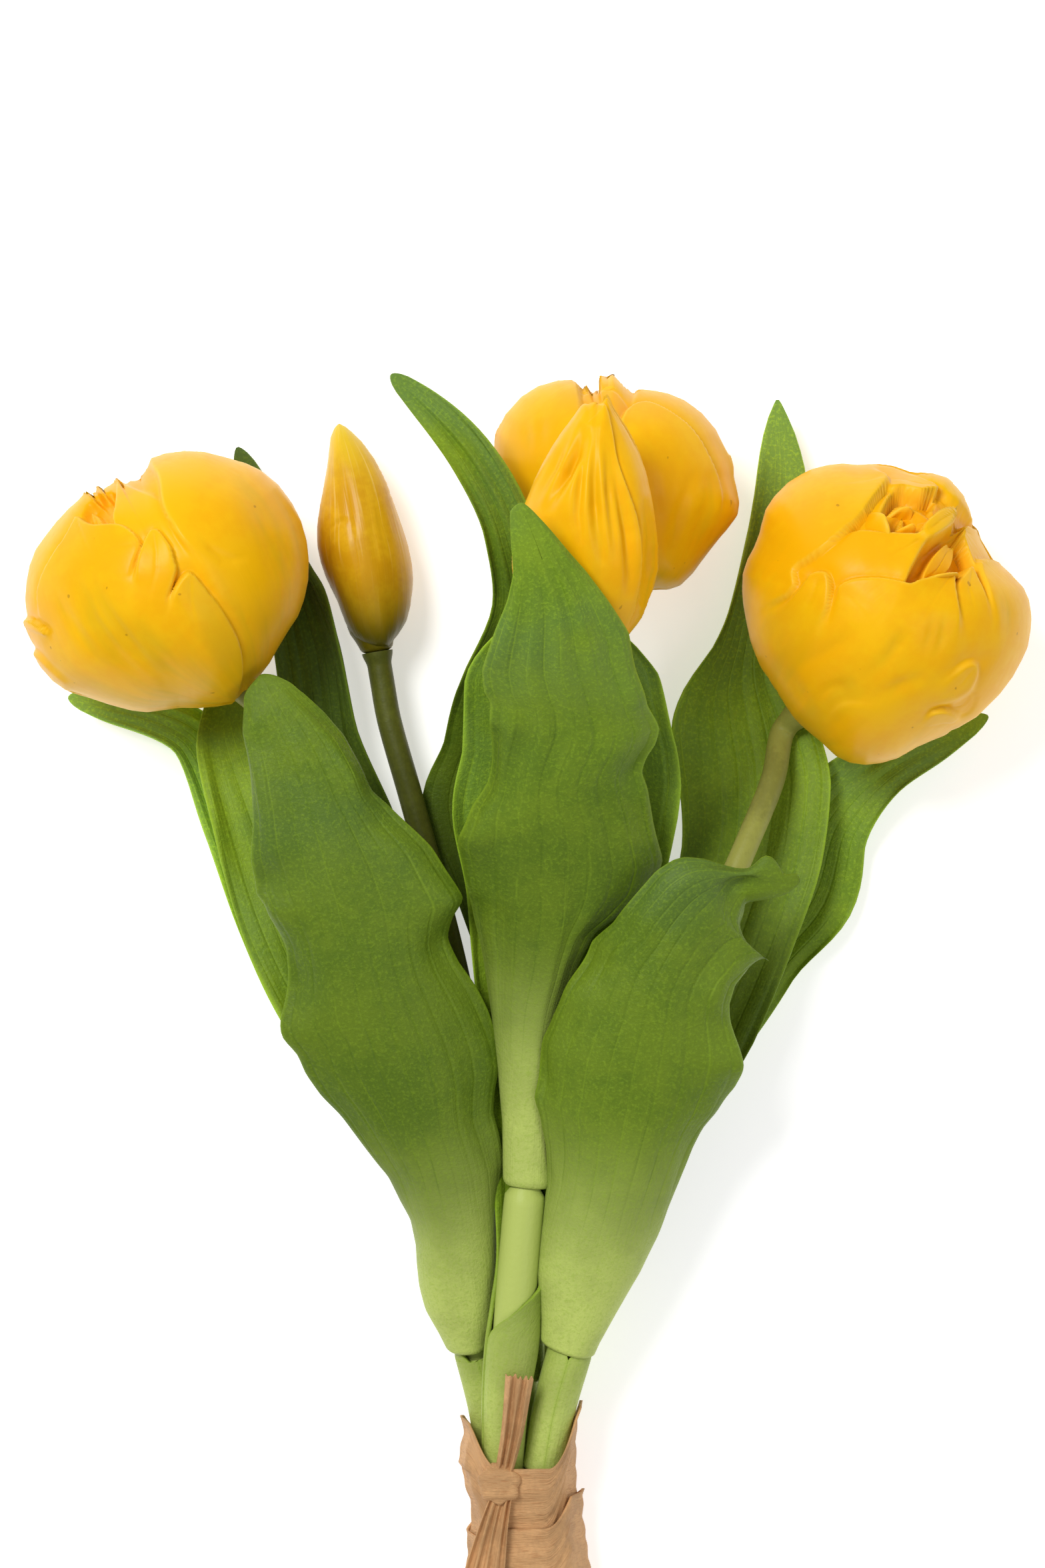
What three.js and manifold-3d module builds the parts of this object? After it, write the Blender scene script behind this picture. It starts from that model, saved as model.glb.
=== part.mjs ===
// A tied bunch of five moulded tulips, lying down: three full double blooms, a ridged bud and a closed
// bud, ten leaves whose feet are sleeves over the stems, and a paper ribbon in two turns with a knot.
// Millimetres. The table is z = 0, the flowers point to +Y and the cut stems to -Y.
import * as THREE from "three";
import { mergeVertices } from "three/addons/utils/BufferGeometryUtils.js";
import Module from "manifold-3d";

const wasm = await Module();
wasm.setup();

// The point of the table under the middle of the bunch, which becomes the origin.
const MIDDLE = [1.5, -60.6, 0];

const STEM_SIDES = 8;
const FOOT_RADIUS = 3.6;
const SHANK_RADIUS = 2.6;
const SHOULDER = 3;
const STEM_STEP = 14;
const CUT_END = -207;
const SEAT = 0.35;

const PLAIN_SLEEVE = [3.85, 3.85, 3.85];
const SLEEVE_WRAP = 348;
const BLADE = 0.95;
const LEAF_ROWS_PER_STATION = 1.7;
// The shares of a leaf over which its waves rise from the sleeve and fall again to the tip.
const WAVES_RISE = 0.3;
const WAVES_FALL = 0.2;

const PETAL_COLUMNS = 4;
const PETAL_ROWS = 5;
const PETAL = 1.2;
// The latitude where every petal starts, and the powers that round its outline.
const PETAL_START = -84;
const PETAL_ROUNDING = [3.4, 0.62];
// How far a petal's margin falls behind its middle, in degrees.
const PETAL_SAG = 7;
const LAYER = 1.3;
const RECEPTACLE = 3.4;

// How far a vertex may shift when the slivers of a join are merged.
const SLIVER = 0.11;

const RIBBON = 0.9;
const RIBBON_SIDES = 22;
const RIBBON_SEAT = 0.75;

const COLOURS = {
  petal: [0xf4bd18, 0.45],
  bud: [0xf6ab1c, 0.45],
  greenBud: [0xb9a82a, 0.5],
  leaf: [0x5d8a34, 0.6],
  stem: [0x8f9c48, 0.6],
  paper: [0xc4986c, 0.85],
};

// Each flower: the middle of its foot, the way it points, its radius, its height, how far each end is
// drawn to a point, how far its middle bulges to the right, the latitude where it is open, and its petals.
// A petal is its azimuth, half its width and its tip's azimuth and latitude, in degrees, then its layer,
// counted inwards, and how far its margin lifts, in millimetres. Azimuth 0 faces up, and positive is to
// the right of the flower.
const FLOWERS = {
  bloom_left: {
    foot: [-58.4, 20.4, 30.1],
    points: [-0.545, 0.839, 0],
    radius: 33,
    height: 56,
    ends: [0.8, 0.95],
    cup: 54,
    colour: "petal",
    petals: [
      [-18, 30, 8, -3, 0, 1],
      [-2, 22, 6, 17, 0.8, 0.8],
      [-38, 42, -22, 38, 1.5, 0.8],
      [62, 50, 40, 58, 1.2, 1],
      [8, 34, 6, 50, 2.8, 0.5],
      [-80, 42, -66, 46, 1.2, 1],
      [-95, 34, -90, 2, 0.4, 3.2],
      [-104, 34, -100, -12, 0, 4.2],
      [176, 46, 180, 58, 1.6, 1],
      [-136, 44, -135, 54, 2, 1],
      [122, 46, 112, 60, 2.6, 1],
      [30, 42, 50, 64, 4, 0.5],
    ],
  },
  bloom_back: {
    foot: [19.2, 39.5, 25.5],
    points: [0.01, 0.998, 0.05],
    radius: 26.6,
    height: 50,
    ends: [0.8, 0.9],
    cup: 52,
    colour: "petal",
    petals: [
      [20, 44, 18, 40, 0.2, 0.8],
      [80, 50, 24, 47, 1.4, 1],
      [-50, 46, -32, 53, 0.8, 1],
      [-5, 34, -8, 47, 2.4, 0.5],
      [90, 24, 86, 13, 0.2, 1.8],
      [178, 46, 176, 56, 0.8, 1],
      [-120, 46, -118, 56, 1.6, 1],
      [132, 46, 132, 56, 1.8, 1],
      [-8, 24, -6, 62, 4, 0],
    ],
  },
  bloom_right: {
    foot: [59.6, 16, 14.7],
    points: [0.568, 0.654, 0.5],
    radius: 32,
    height: 60,
    ends: [0.8, 0.95],
    cup: 56,
    colour: "petal",
    petals: [
      [-86, 54, -88, 60, 1.2, 1.2],
      [-26, 30, -14, 63, 2, 0.8],
      [0, 36, 13, 52, 1.2, 0.8],
      [32, 54, 42, 4, 0.2, 1],
      [-30, 13, -28, 15, 0.5, 0.6],
      [32, 15, 45, 29, 0.5, 0.8],
      [88, 46, 80, 62, 0.8, 1],
      [38, 28, 28, 60, 2.6, 0.6],
      [-150, 46, -142, 68, 1.2, 1],
      [150, 50, 160, 68, 1.4, 1],
    ],
  },
  bud_ridged: {
    foot: [11.6, 26, 59],
    points: [0.067, 0.951, 0.307],
    radius: 14.9,
    height: 54,
    ends: [0.62, 1.55],
    cup: 80,
    colour: "bud",
    petals: [
      [-18, 58, -10, 80, 0.2, 0.3],
      [78, 50, 60, 75, 1.1, 0.8],
      [-112, 56, -110, 77, 0.9, 0.4],
      [158, 58, 150, 78, 0, 0.6],
    ],
  },
  bud_closed: {
    foot: [-31, 28.5, 11.4],
    points: [-0.164, 0.986, 0.01],
    radius: 10.4,
    height: 48.6,
    ends: [0.62, 1.5],
    bulge: 1.3,
    cup: 80,
    colour: "greenBud",
    petals: [
      [20, 58, 14, 80, 0, 0.3],
      [-75, 56, -70, 76, 0.6, 0.3],
      [140, 60, 140, 77, 0.3, 0.3],
    ],
  },
};

// Each stem: points along its middle from the cut end up, and the heights between which it is thick, with
// its radius there where that isn't the foot's.
const STEMS = {
  bloom_left: {
    thick: [[CUT_END, -150]],
    line: [
      [-13, CUT_END, 7.4], [-8.6, -180, 9], [-5.1, -154, 9.9], [-5.8, -140, 10.1], [-9.7, -121, 12.9],
      [-15, -99.5, 19.6], [-24, -71, 24], [-35.5, -38, 26], [-46.5, -11.5, 29], [-53.6, 5, 31],
    ],
  },
  bud_closed: {
    thick: [[CUT_END, -132]],
    line: [
      [0.2, CUT_END, 4.6], [0.7, -180, 5.3], [1, -154, 5.5], [1, -138, 5.4], [0.2, -121, 5.6],
      [-1.3, -110, 6.5], [-5.4, -91, 8.3], [-9.2, -68, 9.6], [-13, -45, 10.3], [-18, -24, 11],
      [-24, -2, 11.4], [-28.5, 14, 11.4],
    ],
  },
  bud_ridged: {
    thick: [[CUT_END, -150], [-116, -89, 3.85]],
    line: [
      [-7, CUT_END, 16.6], [-4.8, -180, 17], [-3.6, -154, 17.3], [-4.4, -140, 19.6], [-2.4, -120, 22.8],
      [0.5, -86, 25.4], [3, -63.5, 27], [6, -40.5, 31], [8.5, -18, 37.5], [10.5, 4, 47], [12, 18, 55],
    ],
  },
  bloom_back: {
    thick: [[CUT_END, -132]],
    line: [
      [13, CUT_END, 7.4], [9.6, -180, 9.4], [6.2, -154, 10.4], [6.6, -138, 10.8], [9, -121, 10],
      [8.7, -108, 10.4],
      [8, -90, 11.2], [10, -58, 11.2], [13, -25, 13], [16.5, 4, 17.4], [18.8, 26, 23],
    ],
  },
  bloom_right: {
    thick: [[CUT_END, -150]],
    line: [
      [8, CUT_END, 16.6], [6, -180, 17], [4.2, -154, 17.1], [5, -140, 19.4], [9.6, -121, 22],
      [15.5, -102, 25], [23.5, -74, 28], [32.5, -46, 29], [41, -26.5, 28], [47, -13, 25], [53, 1, 18.6],
    ],
  },
};

// Each leaf: the stem that its sleeve is over, the heights of the sleeve's sections and its radius at
// each where it isn't plain, how many degrees it wraps where it isn't nearly closed, which side of the
// stem its rib is on (1 above, -1 below), how much of the sleeve is left of the rib, how many columns of
// faces it has, and its stations from the sleeve to the tip. A station is a point of the rib, the width to
// the left and to the right of it, how many degrees the section bends in all (positive bends both margins
// down), and how far the face is rolled to the right. The margins wave: how high, and how many waves.
const LEAVES = {
  leaf_front_left: {
    stem: "bloom_left",
    sleeve: [-119.5, -114],
    radii: [5.7, 6],
    wrap: 184,
    side: 1,
    wave: [1.1, 3.2],
    stations: [
      [-13.8, -104.5, 24.6, 13, 13, 205, 0], [-15.8, -94, 27.6, 13.4, 14, 160, 0],
      [-18.6, -82, 30.8, 13.4, 14, 126, 0], [-23, -65.5, 35, 18, 18, 96, 0],
      [-28, -49, 39.5, 22, 22, 76, 0], [-32, -34, 43, 19.5, 20.5, 70, 0],
      [-35, -20, 45.5, 20, 20.5, 64, 0],
      [-39.5, -7, 47.5, 16, 16.5, 60, 0], [-46, 8, 48.5, 10.5, 11, 56, 0], [-51, 17, 48, 5.5, 6, 50, 0],
      [-54, 22.5, 47, 1.5, 1.5, 30, 0],
    ],
  },
  leaf_front_centre: {
    stem: "bud_ridged",
    sleeve: [-84.5, -77],
    radii: [4.4, 4.2],
    side: 1,
    wave: [1, 3],
    stations: [
      [2.5, -63.5, 32.6, 10.5, 10.5, 220, 0], [3, -52, 35.5, 11, 11, 150, 0],
      [6, -39, 39, 14.5, 15, 106, 0],
      [8.5, -26, 44, 19, 19.5, 80, 0], [9, -13, 50.5, 21, 21, 70, 0], [8, -1, 57.5, 19.5, 18, 66, 0],
      [9, 11, 65.5, 16, 19.5, 62, 0], [8.5, 22, 74.5, 17, 16, 56, 0], [6.5, 34.5, 83, 11, 12, 50, 0],
      [3, 45.5, 87.5, 6, 7, 46, 0], [-0.5, 55.5, 90, 1.6, 1.6, 20, 0],
    ],
  },
  leaf_front_right: {
    stem: "bloom_right",
    sleeve: [-119.5, -115],
    radii: [5.7, 6],
    wrap: 184,
    side: 1,
    wave: [0.9, 3.4],
    stations: [
      [12.8, -108, 30.4, 14, 14, 212, 0], [15.4, -97, 33, 15.2, 15.2, 166, 0],
      [18.5, -84, 36.6, 16, 16, 130, 0], [21.5, -68.5, 41.5, 19.5, 19.5, 98, 0],
      [24.5, -54.5, 46, 21.5, 20.5, 88, 0], [28, -41.5, 49.5, 18.5, 16.5, 90, 0],
      [32.5, -31, 51.5, 17, 17, 86, 14], [38.5, -23, 52, 11.5, 14, 84, 28],
      [46.5, -19, 51.5, 6.5, 9, 76, 30],
      [57, -20, 49.5, 1.6, 1.6, 30, 10],
    ],
  },
  leaf_under_left: {
    stem: "bloom_left",
    sleeve: [-145, -133, -121],
    radii: [3.9, 4.1, 4.3],
    side: -1,
    wave: [0.8, 2.6],
    stations: [
      [-10.6, -116.5, 9.9, 7.5, 7.5, -196, 0], [-13.5, -106, 8.8, 7.2, 7.2, -94, 0],
      [-17.6, -92, 12.8, 9, 9, -92, 0], [-24, -77, 15, 11, 11, -84, 0],
      [-32.5, -60, 17.4, 13, 13, -72, 0],
      [-41.5, -42, 19.2, 12.5, 13.5, -60, 0], [-49, -25, 20, 12, 13, -50, 0],
      [-55, -7, 19.6, 11, 11, -46, 0],
      [-60, 8, 15.5, 9.5, 8, -44, 0], [-64.5, 24, 7.5, 1.6, 1.6, -20, 0],
    ],
  },
  leaf_low_left: {
    stem: "bud_closed",
    sleeve: [-128, -121],
    radii: [3.85, 4.2],
    side: -1,
    wave: [0.6, 3],
    stations: [
      [-2, -111, 2, 7, 7.6, -150, 0], [-8, -100, 1.9, 8, 5.5, -104, 0], [-15, -89, 2, 9, 5.5, -60, 0],
      [-23.5, -77, 2.2, 9.5, 8.5, -46, 0], [-32.5, -63.5, 2.6, 10, 10, -40, 0],
      [-43, -45.5, 3, 10.5, 10.5, -35, 0], [-53, -27.5, 3.8, 9, 10, -35, 0],
      [-62, -8, 5.2, 6.5, 9, -34, 0],
      [-72, 10.5, 7.2, 4.6, 6.4, -30, 0], [-86.5, 16.5, 8.6, 4, 3.6, -30, 0],
      [-97, 18.5, 9.2, 1.5, 1.5, -20, 0],
    ],
  },
  leaf_bud_left: {
    stem: "bud_closed",
    sleeve: [-86, -79],
    side: -1,
    wave: [0.6, 3.2],
    stations: [
      [-10, -68, 5.2, 9, 9, -190, 0], [-14, -56, 5.2, 7.5, 6, -100, 0], [-20, -42, 5.8, 8, 4.5, -60, 0],
      [-27, -25, 7, 9, 6, -50, -4], [-34, -8, 8.6, 9.5, 7, -54, -10], [-40, 8, 9.8, 9.5, 7.5, -62, -16],
      [-46.5, 29, 9.2, 7, 13, -84, -26], [-50.5, 43, 6.4, 4.8, 9.6, -64, -30],
      [-55.5, 58.5, 5.5, 4.8, 5, -50, -25],
      [-61, 72, 7.2, 1.4, 1.4, -10, 0],
    ],
  },
  leaf_back_left: {
    stem: "bloom_back",
    sleeve: [-92, -85],
    radii: [3.9, 4],
    side: -1,
    wave: [0.7, 4],
    stations: [
      [8.4, -73, 6.6, 9, 9, -190, 0], [4, -58, 4.6, 6.5, 4.6, -86, 0], [0, -40, 4, 8.5, 10, -50, 0],
      [-3.5, -20, 4, 12.5, 15, -40, 0], [-4.8, -4, 6, 16.5, 16, -40, 0], [-3.5, 9, 11, 13.5, 15, -44, 0],
      [-0.5, 23, 20, 13, 13, -46, 0], [0.5, 37.5, 34, 7, 9, -46, -10], [-2.5, 52, 46.5, 5.5, 6, -46, -22],
      [-10.5, 67, 50.5, 4.6, 5.4, -42, -16], [-19.5, 77.5, 51.5, 3.4, 3.4, -36, -6],
      [-27, 84, 51.5, 1.4, 1.4, -10, 0],
    ],
  },
  leaf_back_centre: {
    stem: "bud_ridged",
    sleeve: [-145, -132, -118],
    radii: [3.9, 4.5, 5.3],
    share: 0.3,
    columns: 8,
    side: -1,
    wave: [1.2, 2.4],
    stations: [
      [-1.2, -109, 18.4, 8, 15, -262, 0], [-0.2, -98, 19.2, 6.5, 5.6, -130, 0],
      [2, -73, 20.2, 9.5, 10, -104, 0], [4, -56, 22, 14, 14.5, -78, 0],
      [5, -39.5, 24, 17, 18, -58, 0], [6.5, -23, 27, 19.5, 20.5, -52, 0],
      [7.5, -6.5, 31, 22.5, 22.5, -48, 0],
      [8.5, 8, 36, 21, 23, -46, 0], [8.5, 21, 42, 21, 19, -44, 0], [9.5, 32, 46, 13, 12, -40, 0],
      [12, 41, 47.4, 2.4, 2.4, -20, 0],
    ],
  },
  leaf_back_right: {
    stem: "bloom_right",
    sleeve: [-145, -133, -121],
    radii: [3.9, 4.1, 4.3],
    side: -1,
    wave: [0.9, 3],
    stations: [
      [10.9, -116.5, 18, 7.5, 7.5, -196, 0], [13.8, -107, 15.4, 7, 7, -92, 0],
      [20, -88, 18.2, 10, 10, -92, 0], [28, -66.5, 19.6, 12.5, 12.5, -80, 0],
      [36, -48, 18.6, 15, 15, -60, 0], [44, -30, 15.8, 15, 14.5, -46, 0], [49, -13, 13, 15.5, 15, -40, 0],
      [50.5, 0, 11, 16.5, 15.5, -38, 2], [51, 12, 8.6, 17, 12, -36, 8], [50, 25, 6.2, 13, 7, -30, 12],
      [50.5, 38, 5.2, 8.2, 5.4, -26, 12], [53, 51, 5.4, 6.4, 5.6, -26, 10], [55, 64, 7, 5.8, 5.8, -28, 4],
      [54.5, 82, 9, 1.4, 1.4, -10, 0],
    ],
  },
  leaf_far_right: {
    stem: "bloom_back",
    sleeve: [-128, -121],
    side: -1,
    wave: [0.8, 3.6],
    stations: [
      [9.2, -110, 5.2, 9.6, 10, -190, 0], [12.6, -99, 4.2, 5.5, 9, -110, 0], [18, -88, 3, 5, 8.6, -60, 0],
      [24.5, -76, 2.6, 8, 9, -46, 0], [32.5, -64.5, 2.6, 9, 9, -42, 0],
      [41, -52.5, 3, 9.5, 8.5, -40, 0], [50.5, -38, 3.6, 10, 8.5, -38, 0],
      [59.5, -23, 4.6, 10.5, 12, -36, 0],
      [65.5, -8.5, 6, 9.5, 9, -32, 0], [76, 3, 7.5, 7, 7, -30, 0], [88, 9.5, 7.6, 5, 5, -30, 0],
      [99.5, 14.5, 8.4, 1.4, 1.4, -10, 0],
    ],
  },
};

// The ribbon. Each turn round the stems: the height along the bunch of its edge nearer the flowers, at its
// left, front, right and back, how wide it is, how many layers are under it, and how far it stands off at
// the left.
const TURNS = [
  { edge: [-134.5, -144, -131.5, -140], width: 27, layer: 0, loose: 2.6 },
  { edge: [-159, -157, -150, -155], width: 24, layer: 1, loose: 0 },
];

const KNOT = { middle: [-4.8, -147, 25.9], size: [4.4, 4.2, 2.4] };
// Each tail: points along its middle from the knot out, and half its width at each.
const TAILS = [
  { line: [[-4.2, -146, 26.2], [-2, -135, 28.4], [-0.6, -124, 30.2]], half: [1.8, 2.4, 3] },
  {
    line: [[-4, -148, 26.2], [-6, -156, 25], [-8.4, -168, 24], [-11.4, -182, 23], [-13.4, -194, 22]],
    half: [2, 3, 4.4, 5, 5.2],
  },
];
const PLEAT = 0.35;

const UP = new THREE.Vector3(0, 0, 1);
const DEGREE = Math.PI / 180;
const smooth = (x) => THREE.MathUtils.smoothstep(x, 0, 1);

function vector([x, y, z]) {
  return new THREE.Vector3(x, y, z);
}

function solidOf(geometry) {
  geometry.deleteAttribute("normal");
  geometry.deleteAttribute("uv");
  const merged = mergeVertices(geometry, 1e-4);
  return new wasm.Manifold(
    new wasm.Mesh({
      numProp: 3,
      vertProperties: merged.attributes.position.array,
      triVerts: new Uint32Array(merged.index.array),
    }),
  );
}

function geometryOf(solid) {
  const mesh = solid.getMesh();
  const geometry = new THREE.BufferGeometry();
  geometry.setAttribute("position", new THREE.BufferAttribute(mesh.vertProperties, 3));
  geometry.setIndex(new THREE.BufferAttribute(mesh.triVerts, 1));
  return geometry;
}

// Joins solids into one body that ends at the table. A loose scrap is dropped, and slivers are merged.
function fused(solids) {
  const joined = wasm.Manifold.union(solids).trimByPlane([0, 0, 1], 0);
  const bodies = joined.simplify(SLIVER).decompose();
  return bodies.sort((a, b) => b.volume() - a.volume())[0];
}

// A closed slab with a front face (side 1) and a back face (side -1), both split into triangles alike.
// place gives a vertex for u from -1 to 1 across, v from 0 to 1 along, and a side.
function slab(columns, rows, place) {
  const vertices = [];
  for (const side of [1, -1])
    for (let j = 0; j <= rows; j++)
      for (let i = 0; i <= columns; i++) {
        const vertex = place((2 * i) / columns - 1, j / rows, side);
        vertices.push(...vertex.toArray());
      }
  const front = (i, j) => j * (columns + 1) + i;
  const back = (i, j) => (rows + 1) * (columns + 1) + front(i, j);
  const faces = [];
  const wall = (a, b, c, d) => faces.push(a, b, c, a, c, d);
  for (let j = 0; j < rows; j++)
    for (let i = 0; i < columns; i++) {
      wall(front(i, j), front(i + 1, j), front(i + 1, j + 1), front(i, j + 1));
      faces.push(back(i, j), back(i + 1, j + 1), back(i + 1, j));
      faces.push(back(i, j), back(i, j + 1), back(i + 1, j + 1));
    }
  for (let j = 0; j < rows; j++) {
    wall(front(columns, j), back(columns, j), back(columns, j + 1), front(columns, j + 1));
    wall(back(0, j), front(0, j), front(0, j + 1), back(0, j + 1));
  }
  for (let i = 0; i < columns; i++) {
    wall(back(i, 0), back(i + 1, 0), front(i + 1, 0), front(i, 0));
    wall(front(i, rows), front(i + 1, rows), back(i + 1, rows), back(i, rows));
  }
  const geometry = new THREE.BufferGeometry();
  geometry.setAttribute("position", new THREE.Float32BufferAttribute(vertices, 3));
  geometry.setIndex(faces);
  return geometry;
}

// Across a line of direction t: the way that faces up, turned by roll degrees, and the way to the right.
function across(t, roll = 0) {
  const face = UP.clone().addScaledVector(t, -UP.dot(t)).normalize().applyAxisAngle(t, roll * DEGREE);
  return { face, right: t.clone().cross(face) };
}

// The curve of a stem, and where along it the height y is reached.
function stemCurve(name) {
  const { foot, points } = FLOWERS[name];
  const axis = vector(points).normalize();
  const neck = [-7, -SEAT].map((back) => vector(foot).addScaledVector(axis, back));
  return new THREE.CatmullRomCurve3([...STEMS[name].line.map(vector), ...neck], false, "centripetal");
}

function alongStem(curve, y) {
  let low = 0;
  let high = 1;
  for (let i = 0; i < 40; i++) {
    const half = (low + high) / 2;
    if (curve.getPoint(half).y < y) low = half;
    else high = half;
  }
  return { point: curve.getPoint(low), t: curve.getTangent(low) };
}

function stem(name) {
  const curve = stemCurve(name);
  const top = curve.getPoint(1).y;
  const { thick } = STEMS[name];
  const radiusAt = (height) => {
    const range = thick.find(([from, to]) => height >= from && height <= to);
    return range ? (range[2] ?? FOOT_RADIUS) : SHANK_RADIUS;
  };
  const edges = thick.flatMap(([from, to]) => [from - SHOULDER, from, to, to + SHOULDER]);
  const marks = [...edges.filter((y) => y >= CUT_END), top];
  const heights = [];
  for (let k = 0; k + 1 < marks.length; k++) {
    const steps = Math.max(Math.round((marks[k + 1] - marks[k]) / STEM_STEP), 1);
    for (let i = 0; i < steps; i++) heights.push(THREE.MathUtils.lerp(marks[k], marks[k + 1], i / steps));
  }
  heights.push(top);
  const section = (height) => {
    const { point, t } = alongStem(curve, height);
    const { face, right } = across(t);
    const radius = radiusAt(height);
    return Array.from({ length: STEM_SIDES }, (_, i) => {
      const turn = ((i + 0.5) / STEM_SIDES) * 2 * Math.PI;
      const [up, aside] = [radius * Math.cos(turn), radius * Math.sin(turn)];
      return point.clone().addScaledVector(face, up).addScaledVector(right, aside);
    });
  };
  return rod(heights.map(section));
}

// A closed rod through rings of points, each ring clockwise as seen from its end.
function rod(rings) {
  const sides = rings[0].length;
  const vertices = rings.flat().flatMap((p) => p.toArray());
  const faces = [];
  for (let j = 0; j + 1 < rings.length; j++)
    for (let i = 0; i < sides; i++) {
      const k = (i + 1) % sides;
      const [a, b, c, d] = [j * sides + i, j * sides + k, (j + 1) * sides + k, (j + 1) * sides + i];
      faces.push(a, b, c, a, c, d);
    }
  for (let i = 1; i + 1 < sides; i++) {
    const last = (rings.length - 1) * sides;
    faces.push(0, i + 1, i, last, last + i, last + i + 1);
  }
  const geometry = new THREE.BufferGeometry();
  geometry.setAttribute("position", new THREE.Float32BufferAttribute(vertices, 3));
  geometry.setIndex(faces);
  return geometry;
}

// The slope between two steps of a curve that never swings past its points.
function evenSlope(before, after) {
  return before * after > 0 ? (2 * before * after) / (before + after) : 0;
}

// The value of rows of numbers at t from 0 to 1, along a smooth curve through them.
function through(rows, t) {
  const at = t * (rows.length - 1);
  const k = Math.min(Math.floor(at), rows.length - 2);
  const f = at - k;
  const last = rows.length - 1;
  const [a, b, c, d] = [Math.max(k - 1, 0), k, k + 1, Math.min(k + 2, last)].map((i) => rows[i]);
  return b.map((_, n) => {
    const rise = c[n] - b[n];
    const slopeIn = k > 0 ? evenSlope(b[n] - a[n], rise) : rise;
    const slopeOut = k + 2 < rows.length ? evenSlope(rise, d[n] - c[n]) : rise;
    const square = 3 * rise - 2 * slopeIn - slopeOut;
    const cube = slopeIn + slopeOut - 2 * rise;
    return b[n] + f * (slopeIn + f * (square + f * cube));
  });
}

// The way that a curve through rows of numbers runs at v, where each row starts with a point.
function wayAlong(rows, v, step) {
  const at = (w) => vector(through(rows, THREE.MathUtils.clamp(w, 0, 1)));
  return at(v + step).sub(at(v - step)).normalize();
}

// The stations of a leaf with its sleeve's in front of them.
function leafStations(details) {
  const { stem: name, sleeve, side, stations } = details;
  const { radii = PLAIN_SLEEVE, wrap = SLEEVE_WRAP, share = 0.5 } = details;
  const curve = stemCurve(name);
  const ends = sleeve.map((height, i) => {
    const round = radii[i] * wrap * DEGREE;
    const { point, t } = alongStem(curve, height);
    point.addScaledVector(across(t).face, side * radii[i]);
    return [...point.toArray(), round * share, round * (1 - share), side * wrap, 0];
  });
  return [...ends, ...stations];
}

function leaf(details) {
  const stations = leafStations(details);
  const [height, waves] = details.wave;
  const rows = Math.round((stations.length - 1) * LEAF_ROWS_PER_STATION);
  const blade = 2 / (stations.length - 1);
  return slab(details.columns ?? 6, rows, (u, v, side) => {
    const [x, y, z, left, right, bend, roll] = through(stations, v);
    const out = THREE.MathUtils.lerp(-left, right, (u + 1) / 2);
    const frame = across(wayAlong(stations, v, 0.01), roll);
    const curve = (bend * DEGREE) / (left + right);
    const turn = curve * out;
    const normal = new THREE.Vector3()
      .addScaledVector(frame.face, Math.cos(turn))
      .addScaledVector(frame.right, Math.sin(turn));
    const spread = smooth((v - blade) / WAVES_RISE) * smooth((1 - v) / WAVES_FALL);
    const wave = height * spread * u * u * Math.sin(2 * Math.PI * waves * v + 1.3 * Math.sign(u));
    return new THREE.Vector3(x, y, z)
      .addScaledVector(frame.right, Math.sin(turn) / curve)
      .addScaledVector(frame.face, (Math.cos(turn) - 1) / curve)
      .addScaledVector(normal, wave + (side * BLADE) / 2);
  });
}

// A flower's place for an azimuth and a latitude in degrees, that far outside its smooth form.
function flowerSurface({ foot, points, radius, height, ends, bulge = 0 }) {
  const axis = vector(points).normalize();
  const frame = across(axis);
  return (azimuth, latitude, out) => {
    const [a, l] = [azimuth * DEGREE, latitude * DEGREE];
    const round = Math.pow(Math.max(Math.cos(l), 0), ends[latitude < 0 ? 0 : 1]);
    const lean = new THREE.Vector2(Math.cos(l) * height, Math.sin(l) * 2 * radius).normalize();
    const reach = radius * round + lean.x * out;
    return vector(foot)
      .addScaledVector(axis, (height / 2) * (1 + Math.sin(l)) + lean.y * out)
      .addScaledVector(frame.face, reach * Math.cos(a))
      .addScaledVector(frame.right, reach * Math.sin(a) + bulge * Math.cos(l) ** 2);
  };
}

function petal(surface, [azimuth, half, tipAzimuth, tipLatitude, layer, lift], deep) {
  const [rise, fall] = PETAL_ROUNDING;
  return slab(PETAL_COLUMNS, PETAL_ROWS, (u, v, side) => {
    const row = THREE.MathUtils.lerp(PETAL_START, tipLatitude, v);
    const width = half * Math.max(1 - v ** rise, 0.006) ** fall;
    const middle = azimuth + (tipAzimuth - azimuth) * v * v;
    const out = -layer * LAYER + lift * v * v * (0.35 + 0.65 * u * u);
    const root = Math.min(out - PETAL, -deep - 0.4);
    const inner = THREE.MathUtils.lerp(root, out - PETAL, smooth((v - 0.72) / 0.2));
    return surface(middle + width * u, row - PETAL_SAG * u * u * v * v, side > 0 ? out : inner);
  });
}

// The smaller core that the petals stand out of, hollowed at the top where the bloom is open.
function core(surface, { cup }, deep) {
  const turns = 12;
  const latitudes = [-78, -52, -26, 0, 26, 46, cup];
  const ring = (latitude, out) =>
    Array.from({ length: turns }, (_, i) => surface((360 * i) / turns, latitude, out));
  return rod([...latitudes.map((latitude) => ring(latitude, -deep)), ring(cup + 10, -deep - 4)]);
}

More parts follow.
